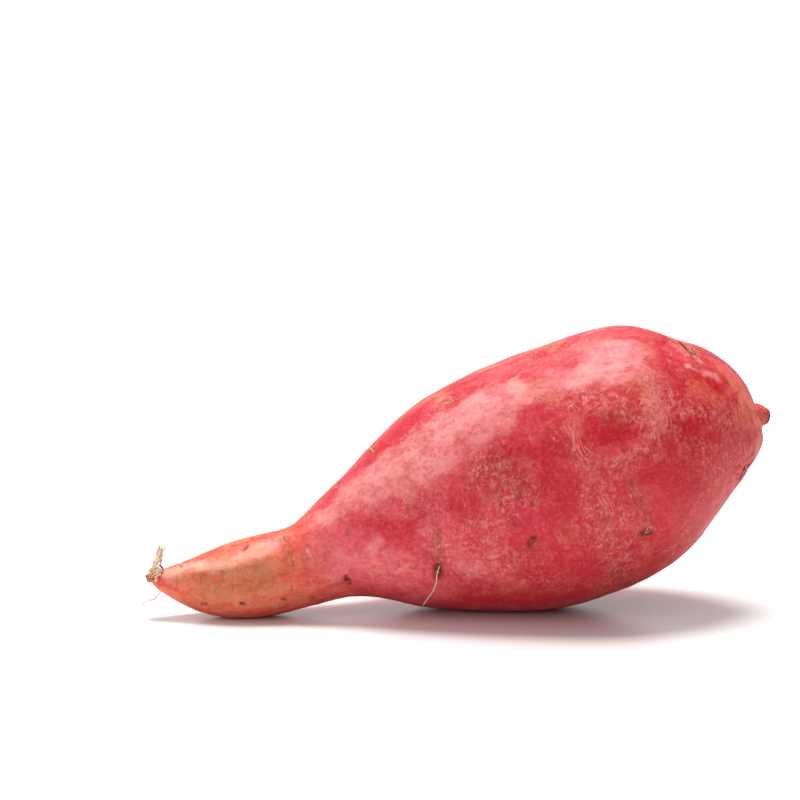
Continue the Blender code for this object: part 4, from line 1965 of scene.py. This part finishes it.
@dataclass(frozen=True)
class FibreFinish:
    """Dry root tissue: streaked along each fibre, lighter or darker from one to the next."""

    name: str
    light: Colour
    middle: Colour
    dark: Colour
    streak: float = 0.5
    shine: float = 0.25

    def make(self) -> Material:
        """Make the material."""
        sheet = Finish(self.name)
        shade = sheet.attribute("shade")
        turned = sheet.attribute("turned") * 0.004
        run = sheet.attribute("run") * (0.3 * MM)
        streak = sheet.noise(0.6, 3.0, sheet.point(turned, run, shade * 0.05))
        grit = sheet.noise(0.3, 3.0)
        tone = shade + (streak - 0.5) * (self.streak * 2)
        colour = sheet.coats(
            self.dark,
            (tone.span(0.1, 0.55), self.middle),
            (tone.span(0.5, 0.85), self.light),
            (grit.span(0.55, 0.7) * 0.3, self.dark),
        )
        roughness = grit.span(0.3, 0.7, 0.6, 0.8)
        return sheet.close(colour, roughness, self.shine, (streak, 0.1), (grit, 0.05))


@dataclass
class StemStump:
    """The short stump of the stem at the root's thick end, with its bark and its cut face.

    Attributes:
        line: Places along its middle, in mm.
        girth: Pairs of a part of its length and its radius there, in mm.
        face: The rings of the cut face, from the rim in: each ring's part of the rim's radius, how far
            it stands out, in mm, how much it is face and how much it is rim.
        pole: How far the middle of the face stands out, in mm.
        rises: The heights of the bark's ridges, lumps and growth rings and of the grit, in mm.
        pith: How far the bark counts as lying from the pith, in mm.
        sides: How many points a ring has.
        rings: How many rings the bark has.
        ridges: How many ridges run along the bark.
    """

    finish: BarkFinish
    line: tuple[Place, ...] = (
        (80.0, 3.0, 56.4), (85.0, 4.4, 56.8), (89.0, 5.6, 56.7), (91.2, 6.3, 56.2), (92.5, 6.8, 55.6),
    )
    girth: tuple[Spot, ...] = (
        (0.0, 5.6), (0.45, 4.5), (0.66, 3.75), (0.8, 3.4), (0.9, 2.8), (0.96, 2.1), (1.0, 1.5),
    )
    face: tuple[tuple[float, float, float, float], ...] = (
        (0.86, 0.02, 0.7, 1.0),
        (0.7, -0.12, 1.0, 0.4),
        (0.5, -0.28, 1.0, 0.0),
        (0.3, -0.34, 1.0, 0.0),
        (0.12, -0.22, 1.0, 0.0),
    )
    pole: float = -0.15
    rises: tuple[float, float, float, float] = (0.07, 0.22, 0.06, 0.04)
    pith: float = 1.8
    sides: int = 96
    rings: int = 70
    ridges: int = 9

    def build(self) -> Object:
        """Make the ridged bark and the sunken face."""
        section = Section(self.sides)
        curve = smooth_line(np.array(self.line), self.rings)
        share = np.linspace(0.0, 1.0, self.rings)
        plain = section.sweep(curve, np.interp(share, *zip(*self.girth)))
        sway = plain.read(Grain(4.0, 211))
        ridged, lumpy, ringed, gritty = self.rises
        ridges = np.cos(self.ridges * section.turns + sway * 2.4) * ridged
        lumps = plain.read(Grain(2.0, 223, 2)) * lumpy
        growth = np.cos(share * 34 + 1.5 * sway.mean(axis=1))[:, None] * ringed
        bark = plain.roughened(curve[:, None], ridges + lumps + growth).rows
        forward = unit(curve[-1] - curve[-2])
        part, sink, level, rim = np.array(self.face).T[..., None, None]
        face = curve[-1] + forward * sink + (bark[-1] - curve[-1]) * part
        rows = np.concatenate([bark, face])
        rows[..., 2] += Rings(rows).read(Grain(0.8, 227, 2)) * gritty
        values = {}
        for name, on_bark, on_face, on_pole in (
            ("face", np.zeros(self.rings), level, 1.0),
            ("rim", smooth_step(share, 0.84, 0.95), rim, 0.0),
            ("from_pith", np.full(self.rings, self.pith), part * self.pith, 0.0),
        ):
            values[name] = np.append(np.repeat(np.append(on_bark, on_face), self.sides), on_pole)
        loft = Loft("stem_stump")
        loft.add(Rings(rows, None, curve[-1] + forward * self.pole), values)
        return loft.make()

    def dress(self, piece: Object) -> None:
        """Give the stump its material and its place in the model."""
        piece.data.materials.append(self.finish.make())
        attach(piece, "root")


@dataclass
class DryBits:
    """Thin bits of dry root tissue that make one piece of this name."""

    name: str
    locator: Locator
    finish: FibreFinish

    def dress(self, piece: Object) -> None:
        """Give the bits their material and their place in the model."""
        piece.data.materials.append(self.finish.make())
        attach(piece, "root")


@dataclass
class Strands(DryBits):
    """A bunch of thin fibres.

    Attributes:
        rings: How many rings of points each has.
        thick: The radius from which a fibre gets the full number of sides, in mm.
        sides: The full number of sides; a thinner fibre gets half as many.
        apart: How much further along the streaks each fibre begins than the one before, in mm.
        rough: How rough a fibre is, as a part of its radius.
        ridged: How high its ridges are, as a part of its radius.
        seeds: Where the seeds of the sways and of the roughness begin.
    """

    fibres: tuple[Fibre, ...]
    rings: int = 48
    thick: float = 0.6
    sides: int = 24
    apart: int = 7
    rough: float = 0.28
    ridged: float = 0.13
    seeds: tuple[int, int] = (300, 351)

    def build(self) -> Object:
        """Make the fibres."""
        loft = Loft(self.name)
        for number, fibre in enumerate(self.fibres):
            self._add(loft, fibre, number)
        return loft.make()

    def _path(self, fibre: Fibre) -> Array:
        """Find a fibre's places, in mm.

        Args:
            fibre: The fibre.

        Returns:
            The places, as rows.
        """
        places = []
        for first, second, third in fibre.path:
            if fibre.chart is UPRIGHT:
                places.append(self.locator.photograph.on_plane((first, second), third))
            else:
                place = self.locator.place((first, second), fibre.chart)
                places.append(place + self.locator.outward(place) * third)
        return np.array(places)

    def _add(self, loft: Loft, fibre: Fibre, number: int) -> None:
        """Add one wavy, ridged fibre.

        Args:
            loft: What it is added to.
            fibre: The fibre.
            number: How many fibres come before it.
        """
        share = np.linspace(0.0, 1.0, self.rings)
        radii = np.interp(share, (0.0, 0.5, 1.0), fibre.radii)
        thick = radii.max()
        curve = smooth_line(self._path(fibre), self.rings)
        sways, roughs = self.seeds
        sway = np.stack([Grain(2.2, sways + number * 3 + axis, 2).at(curve) for axis in range(3)], -1)
        curve = curve + sway * min(0.3, thick * 0.5) * np.sin(share * math.pi)[:, None]
        section = Section(self.sides if thick > self.thick else self.sides // 2, fibre.flat, fibre.twist)
        plain = section.sweep(curve, radii)
        rough = plain.read(Grain(max(0.5, thick * 0.7), roughs + number, 2))
        ridges = np.cos(section.turns * round(3 + thick * 2) + number)
        rise = (rough * self.rough + ridges * self.ridged) * radii[:, None]
        run = covered_along(curve)[-1] * share + number * self.apart
        turned = np.tile(np.abs(section.turns - math.pi), self.rings)
        values = {
            "shade": np.full(self.rings * section.sides + 2, fibre.shade),
            "turned": np.append(turned, (0.0, 0.0)),
            "run": np.append(np.repeat(run, section.sides), (run[0], run[-1])),
        }
        loft.add(plain.roughened(curve[:, None], rise), values)


@dataclass
class Crumbs(DryBits):
    """Crumbs of dry root and soil in the eyes and dimples.

    Attributes:
        rings: How many rings of points each has.
        sides: How many points a ring has.
        blunt: How far from its poles a crumb's first and last ring lie, in radians.
        rough: How rough a crumb is, as a part of its radius.
        twist: How far a crumb turns from end to end, in degrees.
        seed: Which of the endless scatters this is.
        rough_seed: Where the seeds of the roughness begin.
    """

    places: tuple[CrumbPlace, ...] = CRUMB_PLACES
    rings: int = 9
    sides: int = 12
    blunt: float = 0.14
    rough: float = 0.5
    twist: float = 20.0
    seed: int = 19
    rough_seed: int = 400

    def build(self) -> Object:
        """Make the crumbs."""
        loft = Loft(self.name)
        chance = np.random.default_rng(self.seed)
        number = 0
        for place in self.places:
            middle = self.locator.place(place.spot, place.chart)
            out = self.locator.outward(middle)
            for _ in range(place.count):
                off = chance.normal(size=3) * place.spread * 0.5
                off -= out * (off @ out)
                size = place.size * chance.uniform(0.4, 1.0)
                self._add(loft, middle + off + out * size * 0.1, size, number, chance)
                number += 1
        return loft.make()

    def _add(
        self, loft: Loft, middle: Array, size: float, number: int, chance: np.random.Generator
    ) -> None:
        """Add one uneven crumb.

        Args:
            loft: What it is added to.
            middle: Its middle, in mm.
            size: Its radius, in mm.
            number: How many crumbs come before it.
            chance: Where its random numbers come from.
        """
        long = unit(chance.normal(size=3))
        angle = np.linspace(self.blunt, math.pi - self.blunt, self.rings)
        curve = middle - long * np.cos(angle)[:, None] * size * chance.uniform(1.0, 2.2)
        section = Section(self.sides, chance.uniform(0.5, 0.9), self.twist)
        plain = section.sweep(curve, np.sin(angle) * size)
        rise = plain.read(Grain(size * 1.3, self.rough_seed + number, 2)) * self.rough * size
        count = self.rings * self.sides + 2
        values = {
            "shade": np.full(count, chance.uniform(0.0, 0.9) ** 1.4),
            "turned": np.zeros(count),
            "run": np.full(count, float(number)),
        }
        loft.add(plain.roughened(middle, rise), values)


@dataclass(frozen=True)
class FloorFinish:
    """A smooth white table top with a soft shine."""

    white: Colour = Colour(244, 243, 243)
    lighter: Colour = Colour(247, 246, 246)
    roughness: float = 0.26
    shine: float = 0.5

    def make(self) -> Material:
        """Make the material."""
        sheet = Finish("white_table")
        cloud = sheet.noise(60.0, 3.0)
        roughness = cloud.span(0.3, 0.7, self.roughness, self.roughness + 0.01)
        return sheet.close(sheet.mix(cloud, self.white, self.lighter), roughness, self.shine)


@dataclass(frozen=True)
class SoftSun:
    """A broad, far light that falls evenly on the whole table.

    Attributes:
        source: The direction it comes from.
        width: How wide it looks from the table, in degrees.
        power: Its strength, in watts per square metre.
    """

    source: Place = (0.0, 0.24, 0.97)
    width: float = 24.0
    power: float = 3.35

    def hang(self) -> None:
        """Put the light in the scene."""
        data = bpy.data.lights.new("key_light", "SUN")
        data.energy = self.power
        data.angle = math.radians(self.width)
        link("key_light", data).rotation_euler = Vector(self.source).to_track_quat("Z", "Y").to_euler()


@dataclass(frozen=True)
class WhiteRoom:
    """The room round the table: white low down behind the root and on its left, and dim elsewhere.

    Attributes:
        horizon: How bright the low band is at the back.
        front: How bright it is at the front, on the -Y side.
        bright: How bright the left side is, overhead.
        dim: How bright the other side is, overhead.
        side: The direction of the bright side, overhead.
        shade: The direction in which the low band is at its brightest.
        low: The heights between which the low band gives way to what is overhead.
    """

    horizon: float = 1.0
    front: float = 0.23
    bright: float = 0.75
    dim: float = 0.0
    side: Place = (-0.72, -0.30, 0.62)
    shade: Place = (-0.87, 0.44, 0.0)
    low: Spot = (0.26, 0.5)

    def surround(self) -> None:
        """Make the scene's world."""
        world = bpy.data.worlds.new("white_room")
        world.use_nodes = True
        bpy.context.scene.world = world
        sheet = Sheet(world.node_tree, "Generated")
        over = sheet.toward(self.side).span(-0.4, 0.9, self.dim, self.bright)
        band = sheet.toward(self.shade).span(-0.6, 0.4, self.front, self.horizon)
        low = sheet.toward((0.0, 0.0, 1.0)).span(*self.low, 1.0, 0.0)
        light = sheet.tree.nodes["Background"]
        white = (1.0, 1.0, 1.0, 1.0)
        sheet.feed_all(light, ("Strength", "Color"), (sheet.blend(low, over, band), white))


@dataclass(frozen=True)
class Studio:
    """The pale table, the soft light and the white room.

    Attributes:
        reach: Half the table's side, in mm.
        drop: How far the table lies below the root, in mm.
    """

    reach: float = 9000.0
    drop: float = 0.1
    floor: FloorFinish = FloorFinish()
    key: SoftSun = SoftSun()
    room: WhiteRoom = WhiteRoom()

    def set_up(self) -> None:
        """Make the table top, the light and the room."""
        side, level = self.reach * MM, -self.drop * MM
        corners = [(-side, -side, level), (side, -side, level), (side, side, level), (-side, side, level)]
        mesh = bpy.data.meshes.new("table_top")
        mesh.from_pydata(corners, [], [(0, 1, 2, 3)])
        mesh.materials.append(self.floor.make())
        floor = link("table_top", mesh)
        self.key.hang()
        self.room.surround()


def main() -> None:
    """Build the sweet potato, its floor, lights and camera."""
    logging.basicConfig(level=logging.INFO, format="%(message)s")
    bpy.context.scene.view_settings.view_transform = "Standard"
    photograph = Photograph()
    photograph.make_camera()
    form = RootForm()
    locator = Locator(form, photograph)
    dried = FibreFinish("dried_fibre", Colour(255, 224, 188), Colour(255, 195, 148), Colour(148, 84, 58))
    hair = FibreFinish("root_hair", Colour(255, 222, 200), Colour(246, 156, 138), Colour(150, 80, 58), 0.2)
    crumb = FibreFinish("dry_crumb", Colour(214, 160, 116), Colour(150, 92, 60), Colour(66, 34, 22))
    pieces = (
        Skin(form, locator, SkinFinish()),
        StemStump(BarkFinish()),
        Strands("dried_root_end", locator, dried, DRIED_ROOT),
        Strands("rootlets", locator, hair, ROOTLETS),
        Crumbs("root_crumbs", locator, crumb),
    )
    for piece in pieces:
        made = piece.build()
        piece.dress(made)
        LOG.info("%s: %d faces", made.name, len(made.data.polygons))
    Studio().set_up()


if __name__ == "__main__":
    main()
